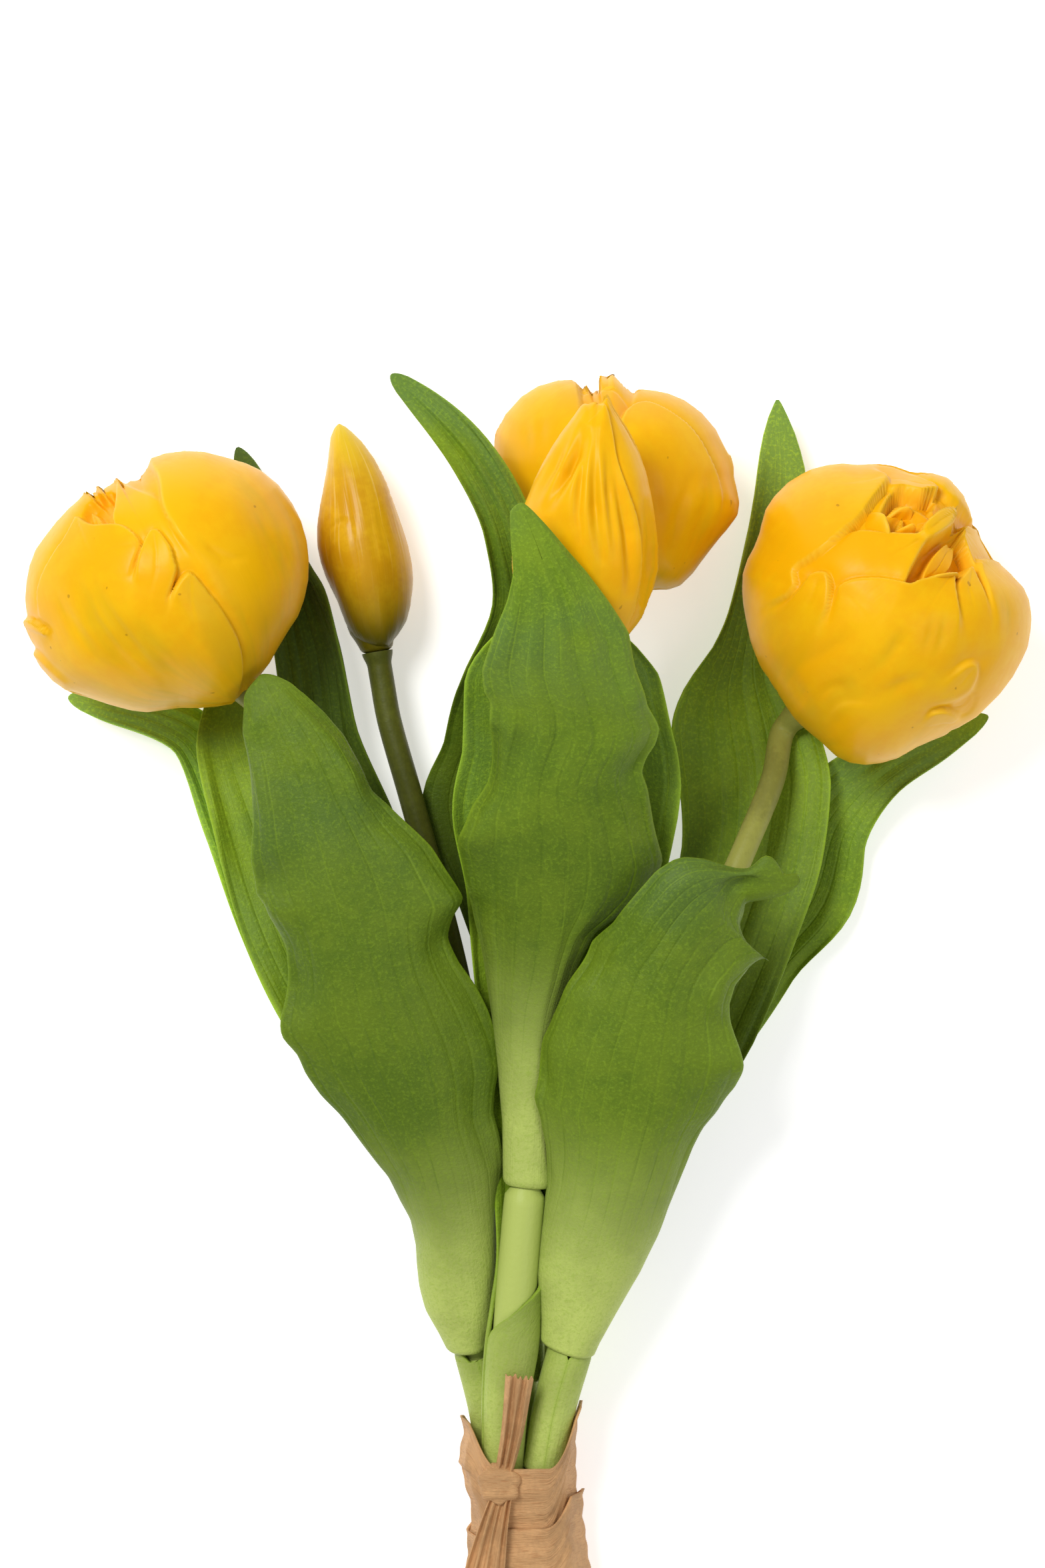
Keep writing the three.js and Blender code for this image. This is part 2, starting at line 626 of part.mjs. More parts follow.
function flower(name) {
  const details = FLOWERS[name];
  const surface = flowerSurface(details);
  const inner = details.petals.map((row) => row[4]).sort((a, b) => b - a);
  const deep = inner[0] * LAYER + 0.6;
  const axis = vector(details.points).normalize();
  const { face, right } = across(axis);
  const ring = (up, radius) =>
    Array.from({ length: 12 }, (_, i) => {
      const turn = (i / 12) * 2 * Math.PI;
      return vector(details.foot)
        .addScaledVector(axis, up)
        .addScaledVector(face, radius * Math.cos(turn))
        .addScaledVector(right, radius * Math.sin(turn));
    });
  const receptacle = rod([ring(0, RECEPTACLE), ring(5, RECEPTACLE + 2.5)]);
  const petals = details.petals.map((row) => petal(surface, row, deep));
  const pieces = [receptacle, core(surface, details, deep), ...petals];
  return geometryOf(fused(pieces.map(solidOf)));
}

const CURVES = Object.fromEntries(Object.keys(STEMS).map((name) => [name, stemCurve(name)]));

// How thick a stem is at a height, with the sleeve that is over it there.
function girth(name, height) {
  const isOver = (leafOn) => leafOn.stem === name && height > leafOn.sleeve[0] - SHOULDER;
  const over = Object.values(LEAVES).find(isOver);
  if (!over || height > over.sleeve.at(-1)) return FOOT_RADIUS;
  const { sleeve, radii = PLAIN_SLEEVE } = over;
  return THREE.MathUtils.mapLinear(height, sleeve[0], sleeve[1], radii[0], radii[1]) + BLADE / 2;
}

// A point of the line drawn tight round the stems, that way round them, that high up and that far outside.
function roundStems(turn, height, out) {
  const way = new THREE.Vector3(Math.cos(turn), 0, Math.sin(turn));
  const reaches = Object.entries(CURVES).map(([name, curve]) =>
    alongStem(curve, height).point.setY(height).addScaledVector(way, girth(name, height) + out),
  );
  return reaches.reduce((a, b) => (b.dot(way) > a.dot(way) ? b : a));
}

function ribbonTurn({ edge, width, layer, loose }) {
  const under = RIBBON_SEAT + layer * RIBBON * 0.8;
  const [left, front, right, back] = edge;
  const upper = (turn) => {
    const [x, z] = [Math.cos(turn), Math.sin(turn)];
    const side = x < 0 ? left : right;
    const face = z > 0 ? front : back;
    return side * x * x + face * z * z;
  };
  const slack = (turn) => PLEAT * Math.cos(9 * turn) + loose * Math.max(-Math.cos(turn), 0) ** 8;
  const ring = ([down, out]) =>
    Array.from({ length: RIBBON_SIDES }, (_, i) => {
      const turn = (i / RIBBON_SIDES) * 2 * Math.PI;
      const off = under + out + (down === 0.5 ? slack(turn) : 0);
      return roundStems(turn, upper(turn) - width * down, off);
    });
  const section = [[0, 0], [0, RIBBON], [0.5, RIBBON * 1.4], [1, RIBBON], [1, 0], [0.5, 0]];
  return hoop(section.map(ring));
}

// A closed hoop through rings of points: the last ring joins the first.
function hoop(rings) {
  const sides = rings[0].length;
  const faces = [];
  for (let j = 0; j < rings.length; j++)
    for (let i = 0; i < sides; i++) {
      const k = (i + 1) % sides;
      const next = ((j + 1) % rings.length) * sides;
      faces.push(j * sides + i, j * sides + k, next + k, j * sides + i, next + k, next + i);
    }
  const vertices = rings.flat().flatMap((p) => p.toArray());
  const geometry = new THREE.BufferGeometry();
  geometry.setAttribute("position", new THREE.Float32BufferAttribute(vertices, 3));
  geometry.setIndex(faces);
  return geometry;
}

function ribbonTail({ line, half }) {
  const rows = line.map((point, i) => [...point, half[i]]);
  return slab(6, line.length, (u, v, side) => {
    const [x, y, z, width] = through(rows, v);
    const frame = across(wayAlong(rows, v, 0.02));
    return new THREE.Vector3(x, y, z)
      .addScaledVector(frame.right, u * width)
      .addScaledVector(frame.face, PLEAT * Math.cos(3 * Math.PI * u) + (side * RIBBON) / 2);
  });
}

function tie() {
  const knot = new THREE.SphereGeometry(1, 9, 6).scale(...KNOT.size).translate(...KNOT.middle);
  const pieces = [...TURNS.map(ribbonTurn), knot, ...TAILS.map(ribbonTail)];
  return geometryOf(fused(pieces.map(solidOf)));
}

function part(name, geometry, colour) {
  const [shade, roughness] = COLOURS[colour];
  geometry.computeVertexNormals();
  const finish = new THREE.MeshStandardMaterial({ color: shade, roughness, metalness: 0 });
  const mesh = new THREE.Mesh(geometry, finish);
  mesh.name = name;
  return mesh;
}

const bunch = new THREE.Group();
for (const name of Object.keys(STEMS)) bunch.add(part("stem_" + name, stem(name), "stem"));
for (const [name, { colour }] of Object.entries(FLOWERS)) bunch.add(part(name, flower(name), colour));
for (const [name, details] of Object.entries(LEAVES)) bunch.add(part(name, leaf(details), "leaf"));
bunch.add(part("tie", tie(), "paper"));
bunch.position.copy(vector(MIDDLE).negate());

export default bunch;
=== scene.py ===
"""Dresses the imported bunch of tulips: fine petals, leaves, stems and paper ribbon, with their finishes."""
import math

import bpy
import numpy as np
from bpy.props import FloatProperty, FloatVectorProperty, IntProperty, PointerProperty
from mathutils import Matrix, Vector


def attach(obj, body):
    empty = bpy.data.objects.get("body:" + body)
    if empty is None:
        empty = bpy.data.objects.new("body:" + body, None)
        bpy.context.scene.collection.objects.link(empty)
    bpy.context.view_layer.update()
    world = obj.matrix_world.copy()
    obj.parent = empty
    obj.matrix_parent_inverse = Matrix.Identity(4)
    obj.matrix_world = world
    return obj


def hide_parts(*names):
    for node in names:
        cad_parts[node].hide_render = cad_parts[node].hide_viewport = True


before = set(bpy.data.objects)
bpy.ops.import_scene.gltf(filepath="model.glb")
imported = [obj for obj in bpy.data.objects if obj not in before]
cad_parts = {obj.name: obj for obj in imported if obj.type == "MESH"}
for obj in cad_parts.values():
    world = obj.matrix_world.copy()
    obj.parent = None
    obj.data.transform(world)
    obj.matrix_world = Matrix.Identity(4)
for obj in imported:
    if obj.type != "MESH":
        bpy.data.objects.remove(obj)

bl_info = {
    "name": "Bunch of tulips",
    "version": (1, 0, 0),
    "blender": (4, 5, 0),
    "location": "3D View > Sidebar > Tulips",
    "description": "Makes a tied bunch of moulded tulips round its packed solids",
    "category": "Add Mesh",
}

# The bunch's own values, in millimetres and degrees, as in its solids.

# The point of the table under the middle of the bunch, which is the origin.
MIDDLE = np.array([1.5, -60.6, 0.0])
MILLIMETRE = 0.001
DEGREE = math.pi / 180
UP = np.array([0.0, 0.0, 1.0])

FOOT_RADIUS = 3.6
SHANK_RADIUS = 2.6
SHOULDER = 3
CUT_END = -207
# How far under a flower's foot its stem ends, and how far under it the stem is straight.
SEAT = 0.35
NECK = 7
PLAIN_SLEEVE = [3.85, 3.85, 3.85]
SLEEVE_WRAP = 348
# Half of the thickness of the solids' leaves, which the ribbon goes round.
SLEEVE_HALF = 0.475
RIBBON_SEAT = 0.75
RIBBON = 0.9
RIBBON_LAYER = 0.8

# Values of the finer pieces, in millimetres too.

# How softly what is under the table is brought up onto it.
TABLE_SOFTNESS = 0.1
# How much wider and longer a stem's own thick part is than in the solids, and its flare under the flower.
COLLAR_WIDER, COLLAR_LONGER = 0.45, 2.2
FLARE, FLARE_RUN = 0.7, 3.0
# The rings of a stem's shank and of its neck, and how far under its top the one ends and the other starts.
STEM_ROWS, NECK_ROWS = 110, 24
SHANK_UP_TO, NECK_FROM = 6, 5.8
# How many rows a leaf has along it, in front and behind, with more at its foot and its tip, and how many
# places across it, with more beside each vein and at the margins, none closer than the least step.
FRONT_ROWS, BACK_ROWS = 150, 80
FOOT_STEPS, TIP_STEPS = [0, 0.0015, 0.004, 0.008], [0.993, 0.997, 1]
LEAF_COLUMNS = 27
VEIN_STEPS = (-0.03, -0.015, 0, 0.015, 0.03)
MARGIN_STEPS = (1.0, 0.996, 0.985, 0.965)
LEAST_STEP = 0.003
# Between which shares of its width a leaf's edge is looked for in the photograph.
LEAST_REACH, MOST_REACH = 0.1, 1.8
# Where an edge starts to be rounded, over how much of the piece, and how thick it stays.
BLADE_RIM, BLADE_TIP = (0.965, 0.036, 0.03), (0.975, 0.0255, 0.02)
PETAL_RIM, TAIL_RIM = (0.93, 0.07, 0.06), (0.96, 0.04, 0.1)
# How far a leaf's sleeve is tucked in at its end.
SLEEVE_TUCK = 0.4
# How far along a leaf its foot stays pale, and over how much more the green comes in.
PALE_RUN = [6, 52]
# How deep and how wide, in its width, a vein's groove is.
VEIN_DEPTH, VEIN_WIDTH = 0.17, 0.014
# How far a flower's skin is outside its smooth form where its outline is fitted, how finely the outline and
# the form are drawn, in how many directions they are compared, and how often the result is evened.
SKIN = 0.3
EDGE_STEPS, FORM_ROWS = 20, 800
SLOTS = 360
EVEN_FORM, EVEN_BROAD = 6, 30
# The last latitude of a round form before its ends are closed.
POLE = 88
# How much closer together the places round a flower are on the side that faces up.
DENSE = 0.3
# The latitude of a petal's foot.
PETAL_FOOT = -84
# A petal's margin: how steep it can be taken to be, how soft its step is, how high and far in its lip stands
# and how it is rounded, how deep and wide the trough is and how wide the painted crease shade outside it is,
# and where its pale edge, partly a painted highlight, is and how wide.
STEEPNESS = (1.2, 9)
SOFT_LEAST, SOFT_MORE = 0.28, 2.6
LIP, LIP_RUN = 0.55, 3.2
LIP_ROUND, ROUND_RUN = 0.3, 0.35
TROUGH, TROUGH_RUN = 0.75, 1.6
PAINTED_CREASE_RUN = 1.0
EDGE_IN, EDGE_WIDE = 0.2, 0.35
# How deep a furrow is beside the depth in its row, and the depth at which its painted shade is as dark as a
# crease's.
FURROW_DEPTH, FULL_PAINTED_SHADE_DEPTH = 1.35, 1.6
# The hidden sides: how far the core is sunk, where and over how much latitude a flower's opening falls in,
# and how far each layer of petals is under the next.
CORE_SUNK = 1.6
CUP_ABOVE, CUP_RUN = 22, 16
LAYER_STEP = 0.45
# The petals in an opening: half of their thickness beside a petal's own, and their places across and along.
THIN_PETAL = 0.42
INNER_COLUMNS, INNER_ROWS = 29, 24
# The seat of a flower on its stem: how far up the axis and how far from it, ring by ring.
RECEPTACLE = [(-0.3, 2.5), (0, 3.1), (0.5, 3.5), (1.4, 3.8), (2.6, 4.3), (4.2, 5.1), (6, 5.5)]
RECEPTACLE_SIDES = 28
# How many places a flower's skin has round it and along it.
FLOWER_GRIDS = {
    "bloom_left": (325, 196), "bloom_back": (260, 160), "bloom_right": (325, 196),
    "bud_ridged": (240, 170), "bud_closed": (150, 130),
}
# The places round and along a turn of the ribbon, how finely its line is drawn, and the turn that its
# ripples repeat after.
TURN_COLUMNS, TURN_ROWS = 190, 28
TURN_STEPS = 1440
RIPPLE_TURN = 6.283
# How far a turn's upper edge flares, its folds and its unevenness stand out, and its edges are ragged.
TURN_FLARE, TURN_FOLDS, TURN_UNEVEN, TURN_RAGGED = 0.9, 0.16, 0.22, 0.5
# The same for a tail, with its places along and across, and the knot's places along and round it.
PLEAT, TAIL_UNEVEN, TAIL_RAGGED = 0.5, 0.35, 0.8
TAIL_ROWS, TAIL_COLUMNS = 70, 61
KNOT_ROWS, KNOT_COLUMNS = 30, 64
# The table's half-width and height in metres, and the lamps: place, size and power, aimed at one point.
TABLE_REACH, TABLE_TOP = 3.0, -0.0002
LAMPS = {"key": ((-0.55, 0.6, 1.3), 0.6, 16.0), "fill": ((0.8, -0.3, 1.2), 0.9, 3.5)}
LAMP_AIM = (0.0, 0.0, 0.02)
TABLE_GLOW, SKY = 0.5, 0.42
# How far light of each colour goes inside a petal, as shares of a depth in metres.
INNER_GLOW, INNER_DEPTH = (1.0, 0.45, 0.08), 0.002

# The camera of the photograph: its sensor and lens, points to a millimetre at the bunch's middle height, its
# own height over the table, and the point of the photograph under it.
SENSOR, LENS, CLIP_END = 36.0, 117.35, 20.0
SEEN_SCALE = 7.2
SEEN_HEIGHT = 35
SEEN_FROM = 1100.0
SEEN_MIDDLE = (784.0, 1176.0)

# The flowers: the foot of each, the way its axis points, how wide and high it is, how full its foot and its
# tip are, where its opening starts and how far it bulges to one side. A row of petals, the innermost first,
# is a petal's azimuth at its foot, its half-width, its azimuth and latitude at its tip, and its layer.
FLOWERS = {
    "bloom_left": {
        "foot": [-58.4, 20.4, 30.1], "points": [-0.545, 0.839, 0], "radius": 33, "height": 56,
        "ends": [0.8, 0.95], "cup": 54,
        "petals": [
            [30, 42, 50, 64, 4], [8, 34, 6, 50, 2.8], [122, 46, 112, 60, 2.6], [-136, 44, -135, 54, 2],
            [176, 46, 180, 58, 1.6], [-38, 42, -22, 38, 1.5], [62, 50, 40, 58, 1.2],
            [-80, 42, -66, 46, 1.2], [-2, 22, 6, 17, 0.8], [-95, 34, -90, 2, 0.4], [-18, 30, 8, -3, 0],
            [-104, 34, -100, -12, 0],
        ],
    },
    "bloom_back": {
        "foot": [19.2, 39.5, 25.5], "points": [0.01, 0.998, 0.05], "radius": 26.6, "height": 50,
        "ends": [0.8, 0.9], "cup": 52,
        "petals": [
            [-8, 24, -6, 62, 4], [-5, 34, -8, 47, 2.4], [132, 46, 132, 56, 1.8], [-120, 46, -118, 56, 1.6],
            [80, 50, 24, 47, 1.4], [-50, 46, -32, 53, 0.8], [178, 46, 176, 56, 0.8], [20, 44, 18, 40, 0.2],
            [90, 24, 86, 13, 0.2],
        ],
    },
    "bloom_right": {
        "foot": [59.6, 16, 14.7], "points": [0.568, 0.654, 0.5], "radius": 32, "height": 60,
        "ends": [0.8, 0.95], "cup": 56,
        "petals": [
            [38, 28, 28, 60, 2.6], [-26, 30, -14, 63, 2], [150, 50, 160, 68, 1.4], [-86, 54, -88, 60, 1.2],
            [0, 36, 13, 52, 1.2], [-150, 46, -142, 68, 1.2], [88, 46, 80, 62, 0.8],
            [-30, 13, -28, 15, 0.5], [32, 15, 45, 29, 0.5], [32, 54, 42, 4, 0.2],
        ],
    },
    "bud_ridged": {
        "foot": [11.6, 26, 59], "points": [0.067, 0.951, 0.307], "radius": 14.9, "height": 54,
        "ends": [0.62, 1.55], "cup": 80,
        "petals": [
            [78, 50, 60, 75, 1.1], [-112, 56, -110, 77, 0.9], [-18, 58, -10, 80, 0.2],
            [158, 58, 150, 78, 0],
        ],
    },
    "bud_closed": {
        "foot": [-31, 28.5, 11.4], "points": [-0.164, 0.986, 0.01], "radius": 10.4, "height": 48.6,
        "ends": [0.62, 1.5], "bulge": 1.3, "cup": 80,
        "petals": [[-75, 56, -70, 76, 0.6], [140, 60, 140, 77, 0.3], [20, 58, 14, 80, 0]],
    },
}

# The stems: the line of each from its cut end up, and the stretches where it is thicker, with the radius
# there where it isn't the foot's.
STEMS = {
    "bloom_left": {
        "thick": [[CUT_END, -150]],
        "line": [
            [-13, CUT_END, 7.4], [-8.6, -180, 9], [-5.1, -154, 9.9], [-5.8, -140, 10.1],
            [-9.7, -121, 12.9], [-15, -99.5, 19.6], [-24, -71, 24], [-35.5, -38, 26], [-46.5, -11.5, 29],
            [-53.6, 5, 31],
        ],
    },
    "bud_closed": {
        "thick": [[CUT_END, -132]],
        "line": [
            [0.2, CUT_END, 4.6], [0.7, -180, 5.3], [1, -154, 5.5], [1, -138, 5.4], [0.2, -121, 5.6],
            [-1.3, -110, 6.5], [-5.4, -91, 8.3], [-9.2, -68, 9.6], [-13, -45, 10.3], [-18, -24, 11],
            [-24, -2, 11.4], [-28.5, 14, 11.4],
        ],
    },
    "bud_ridged": {
        "thick": [[CUT_END, -150], [-116, -89, 3.85]],
        "line": [
            [-7, CUT_END, 16.6], [-4.8, -180, 17], [-3.6, -154, 17.3], [-4.4, -140, 19.6],
            [-2.4, -120, 22.8], [0.5, -86, 25.4], [3, -63.5, 27], [6, -40.5, 31], [8.5, -18, 37.5],
            [10.5, 4, 47], [12, 18, 55],
        ],
    },
    "bloom_back": {
        "thick": [[CUT_END, -132]],
        "line": [
            [13, CUT_END, 7.4], [9.6, -180, 9.4], [6.2, -154, 10.4], [6.6, -138, 10.8], [9, -121, 10],
            [8.7, -108, 10.4], [8, -90, 11.2], [10, -58, 11.2], [13, -25, 13], [16.5, 4, 17.4],
            [18.8, 26, 23],
        ],
    },
    "bloom_right": {
        "thick": [[CUT_END, -150]],
        "line": [
            [8, CUT_END, 16.6], [6, -180, 17], [4.2, -154, 17.1], [5, -140, 19.4], [9.6, -121, 22],
            [15.5, -102, 25], [23.5, -74, 28], [32.5, -46, 29], [41, -26.5, 28], [47, -13, 25],
            [53, 1, 18.6],
        ],
    },
}

# The leaves: the stem of each, where its sleeve is on it and with which radii, how many degrees round the
# stem it closes, how much of it is left of its rib, on which side of the stem its rib is, and how high and
# how many its waves are. A station is a point of the rib, the widths to the left and right, how many degrees
# the blade bends across, and its roll.
LEAVES = {
    "leaf_front_left": {
        "stem": "bloom_left", "sleeve": [-119.5, -114], "radii": [5.7, 6], "wrap": 184, "side": 1,
        "wave": [1.1, 3.2],
        "stations": [
            [-13.8, -104.5, 24.6, 13, 13, 205, 0], [-15.8, -94, 27.6, 13.4, 14, 160, 0],
            [-18.6, -82, 30.8, 13.4, 14, 126, 0], [-23, -65.5, 35, 18, 18, 96, 0],
            [-28, -49, 39.5, 22, 22, 76, 0], [-32, -34, 43, 19.5, 20.5, 70, 0],
            [-35, -20, 45.5, 20, 20.5, 64, 0], [-39.5, -7, 47.5, 16, 16.5, 60, 0],
            [-46, 8, 48.5, 10.5, 11, 56, 0], [-51, 17, 48, 5.5, 6, 50, 0],
            [-54, 22.5, 47, 1.5, 1.5, 30, 0],
        ],
    },
    "leaf_front_centre": {
        "stem": "bud_ridged", "sleeve": [-84.5, -77], "radii": [4.4, 4.2], "side": 1, "wave": [1, 3],
        "stations": [
            [2.5, -63.5, 32.6, 10.5, 10.5, 220, 0], [3, -52, 35.5, 11, 11, 150, 0],
            [6, -39, 39, 14.5, 15, 106, 0], [8.5, -26, 44, 19, 19.5, 80, 0], [9, -13, 50.5, 21, 21, 70, 0],
            [8, -1, 57.5, 19.5, 18, 66, 0], [9, 11, 65.5, 16, 19.5, 62, 0], [8.5, 22, 74.5, 17, 16, 56, 0],
            [6.5, 34.5, 83, 11, 12, 50, 0], [3, 45.5, 87.5, 6, 7, 46, 0],
            [-0.5, 55.5, 90, 1.6, 1.6, 20, 0],
        ],
    },
    "leaf_front_right": {
        "stem": "bloom_right", "sleeve": [-119.5, -115], "radii": [5.7, 6], "wrap": 184, "side": 1,
        "wave": [0.9, 3.4],
        "stations": [
            [12.8, -108, 30.4, 14, 14, 212, 0], [15.4, -97, 33, 15.2, 15.2, 166, 0],
            [18.5, -84, 36.6, 16, 16, 130, 0], [21.5, -68.5, 41.5, 19.5, 19.5, 98, 0],
            [24.5, -54.5, 46, 21.5, 20.5, 88, 0], [28, -41.5, 49.5, 18.5, 16.5, 90, 0],
            [32.5, -31, 51.5, 17, 17, 86, 14], [38.5, -23, 52, 11.5, 14, 84, 28],
            [46.5, -19, 51.5, 6.5, 9, 76, 30], [57, -20, 49.5, 1.6, 1.6, 30, 10],
        ],
    },
    "leaf_under_left": {
        "stem": "bloom_left", "sleeve": [-145, -133, -121], "radii": [3.9, 4.1, 4.3], "side": -1,
        "wave": [0.8, 2.6],
        "stations": [
            [-10.6, -116.5, 9.9, 7.5, 7.5, -196, 0], [-13.5, -106, 8.8, 7.2, 7.2, -94, 0],
            [-17.6, -92, 12.8, 9, 9, -92, 0], [-24, -77, 15, 11, 11, -84, 0],
            [-32.5, -60, 17.4, 13, 13, -72, 0], [-41.5, -42, 19.2, 12.5, 13.5, -60, 0],
            [-49, -25, 20, 12, 13, -50, 0], [-55, -7, 19.6, 11, 11, -46, 0],
            [-60, 8, 15.5, 9.5, 8, -44, 0], [-64.5, 24, 7.5, 1.6, 1.6, -20, 0],
        ],
    },
    "leaf_low_left": {
        "stem": "bud_closed", "sleeve": [-128, -121], "radii": [3.85, 4.2], "side": -1, "wave": [0.6, 3],
        "stations": [
            [-2, -111, 2, 7, 7.6, -150, 0], [-8, -100, 1.9, 8, 5.5, -104, 0],
            [-15, -89, 2, 9, 5.5, -60, 0], [-23.5, -77, 2.2, 9.5, 8.5, -46, 0],
            [-32.5, -63.5, 2.6, 10, 10, -40, 0], [-43, -45.5, 3, 10.5, 10.5, -35, 0],
            [-53, -27.5, 3.8, 9, 10, -35, 0], [-62, -8, 5.2, 6.5, 9, -34, 0],
            [-72, 10.5, 7.2, 4.6, 6.4, -30, 0], [-86.5, 16.5, 8.6, 4, 3.6, -30, 0],
            [-97, 18.5, 9.2, 1.5, 1.5, -20, 0],
        ],
    },
    "leaf_bud_left": {
        "stem": "bud_closed", "sleeve": [-86, -79], "side": -1, "wave": [0.6, 3.2],
        "stations": [
            [-10, -68, 5.2, 9, 9, -190, 0], [-14, -56, 5.2, 7.5, 6, -100, 0],
            [-20, -42, 5.8, 8, 4.5, -60, 0], [-27, -25, 7, 9, 6, -50, -4],
            [-34, -8, 8.6, 9.5, 7, -54, -10], [-40, 8, 9.8, 9.5, 7.5, -62, -16],
            [-46.5, 29, 9.2, 7, 13, -84, -26], [-50.5, 43, 6.4, 4.8, 9.6, -64, -30],
            [-55.5, 58.5, 5.5, 4.8, 5, -50, -25], [-61, 72, 7.2, 1.4, 1.4, -10, 0],
        ],
    },
    "leaf_back_left": {
        "stem": "bloom_back", "sleeve": [-92, -85], "radii": [3.9, 4], "side": -1, "wave": [0.7, 4],
        "stations": [
            [8.4, -73, 6.6, 9, 9, -190, 0], [4, -58, 4.6, 6.5, 4.6, -86, 0], [0, -40, 4, 8.5, 10, -50, 0],
            [-3.5, -20, 4, 12.5, 15, -40, 0], [-4.8, -4, 6, 16.5, 16, -40, 0],
            [-3.5, 9, 11, 13.5, 15, -44, 0], [-0.5, 23, 20, 13, 13, -46, 0],
            [0.5, 37.5, 34, 7, 9, -46, -10], [-2.5, 52, 46.5, 5.5, 6, -46, -22],
            [-10.5, 67, 50.5, 4.6, 5.4, -42, -16], [-19.5, 77.5, 51.5, 3.4, 3.4, -36, -6],
            [-27, 84, 51.5, 1.4, 1.4, -10, 0],
        ],
    },
    "leaf_back_centre": {
        "stem": "bud_ridged", "sleeve": [-145, -132, -118], "radii": [3.9, 4.5, 5.3], "share": 0.3,
        "side": -1, "wave": [1.2, 2.4],
        "stations": [
            [-1.2, -109, 18.4, 8, 15, -262, 0], [-0.2, -98, 19.2, 6.5, 5.6, -130, 0],
            [2, -73, 20.2, 9.5, 10, -104, 0], [4, -56, 22, 14, 14.5, -78, 0],
            [5, -39.5, 24, 17, 18, -58, 0], [6.5, -23, 27, 19.5, 20.5, -52, 0],
            [7.5, -6.5, 31, 22.5, 22.5, -48, 0], [8.5, 8, 36, 21, 23, -46, 0],
            [8.5, 21, 42, 21, 19, -44, 0], [9.5, 32, 46, 13, 12, -40, 0], [12, 41, 47.4, 2.4, 2.4, -20, 0],
        ],
    },
    "leaf_back_right": {
        "stem": "bloom_right", "sleeve": [-145, -133, -121], "radii": [3.9, 4.1, 4.3], "side": -1,
        "wave": [0.9, 3],
        "stations": [
            [10.9, -116.5, 18, 7.5, 7.5, -196, 0], [13.8, -107, 15.4, 7, 7, -92, 0],
            [20, -88, 18.2, 10, 10, -92, 0], [28, -66.5, 19.6, 12.5, 12.5, -80, 0],
            [36, -48, 18.6, 15, 15, -60, 0], [44, -30, 15.8, 15, 14.5, -46, 0],
            [49, -13, 13, 15.5, 15, -40, 0], [50.5, 0, 11, 16.5, 15.5, -38, 2],
            [51, 12, 8.6, 17, 12, -36, 8], [50, 25, 6.2, 13, 7, -30, 12],
            [50.5, 38, 5.2, 8.2, 5.4, -26, 12], [53, 51, 5.4, 6.4, 5.6, -26, 10],
            [55, 64, 7, 5.8, 5.8, -28, 4], [54.5, 82, 9, 1.4, 1.4, -10, 0],
        ],
    },
    "leaf_far_right": {
        "stem": "bloom_back", "sleeve": [-128, -121], "side": -1, "wave": [0.8, 3.6],
        "stations": [
            [9.2, -110, 5.2, 9.6, 10, -190, 0], [12.6, -99, 4.2, 5.5, 9, -110, 0],
            [18, -88, 3, 5, 8.6, -60, 0], [24.5, -76, 2.6, 8, 9, -46, 0], [32.5, -64.5, 2.6, 9, 9, -42, 0],
            [41, -52.5, 3, 9.5, 8.5, -40, 0], [50.5, -38, 3.6, 10, 8.5, -38, 0],
            [59.5, -23, 4.6, 10.5, 12, -36, 0], [65.5, -8.5, 6, 9.5, 9, -32, 0],
            [76, 3, 7.5, 7, 7, -30, 0], [88, 9.5, 7.6, 5, 5, -30, 0], [99.5, 14.5, 8.4, 1.4, 1.4, -10, 0],
        ],
    },
}

# The ribbon's two turns: the upper edge on the left, in front, on the right and behind, the width, how far
# out it lies and how loose it is on the left. Then the knot, and the tails with their half-widths.
TURNS = [
    {"edge": [-134.5, -144, -131.5, -140], "width": 27, "layer": 0, "loose": 2.6},
    {"edge": [-159, -157, -150, -155], "width": 24, "layer": 1, "loose": 0},
]
KNOT = {"middle": [-4.8, -147, 25.9], "size": [4.4, 4.2, 2.4]}
TAILS = [
    {"line": [[-4.2, -146, 26.2], [-2, -135, 28.4], [-0.6, -124, 30.2]], "half": [1.8, 2.4, 3], "pleats": 3},
    {
        "line": [[-4, -148, 26.2], [-6, -156, 25], [-8.4, -168, 24], [-11.4, -182, 23], [-13.4, -194, 22]],
        "half": [2, 3, 4.4, 5, 5.2], "pleats": 4,
    },
]

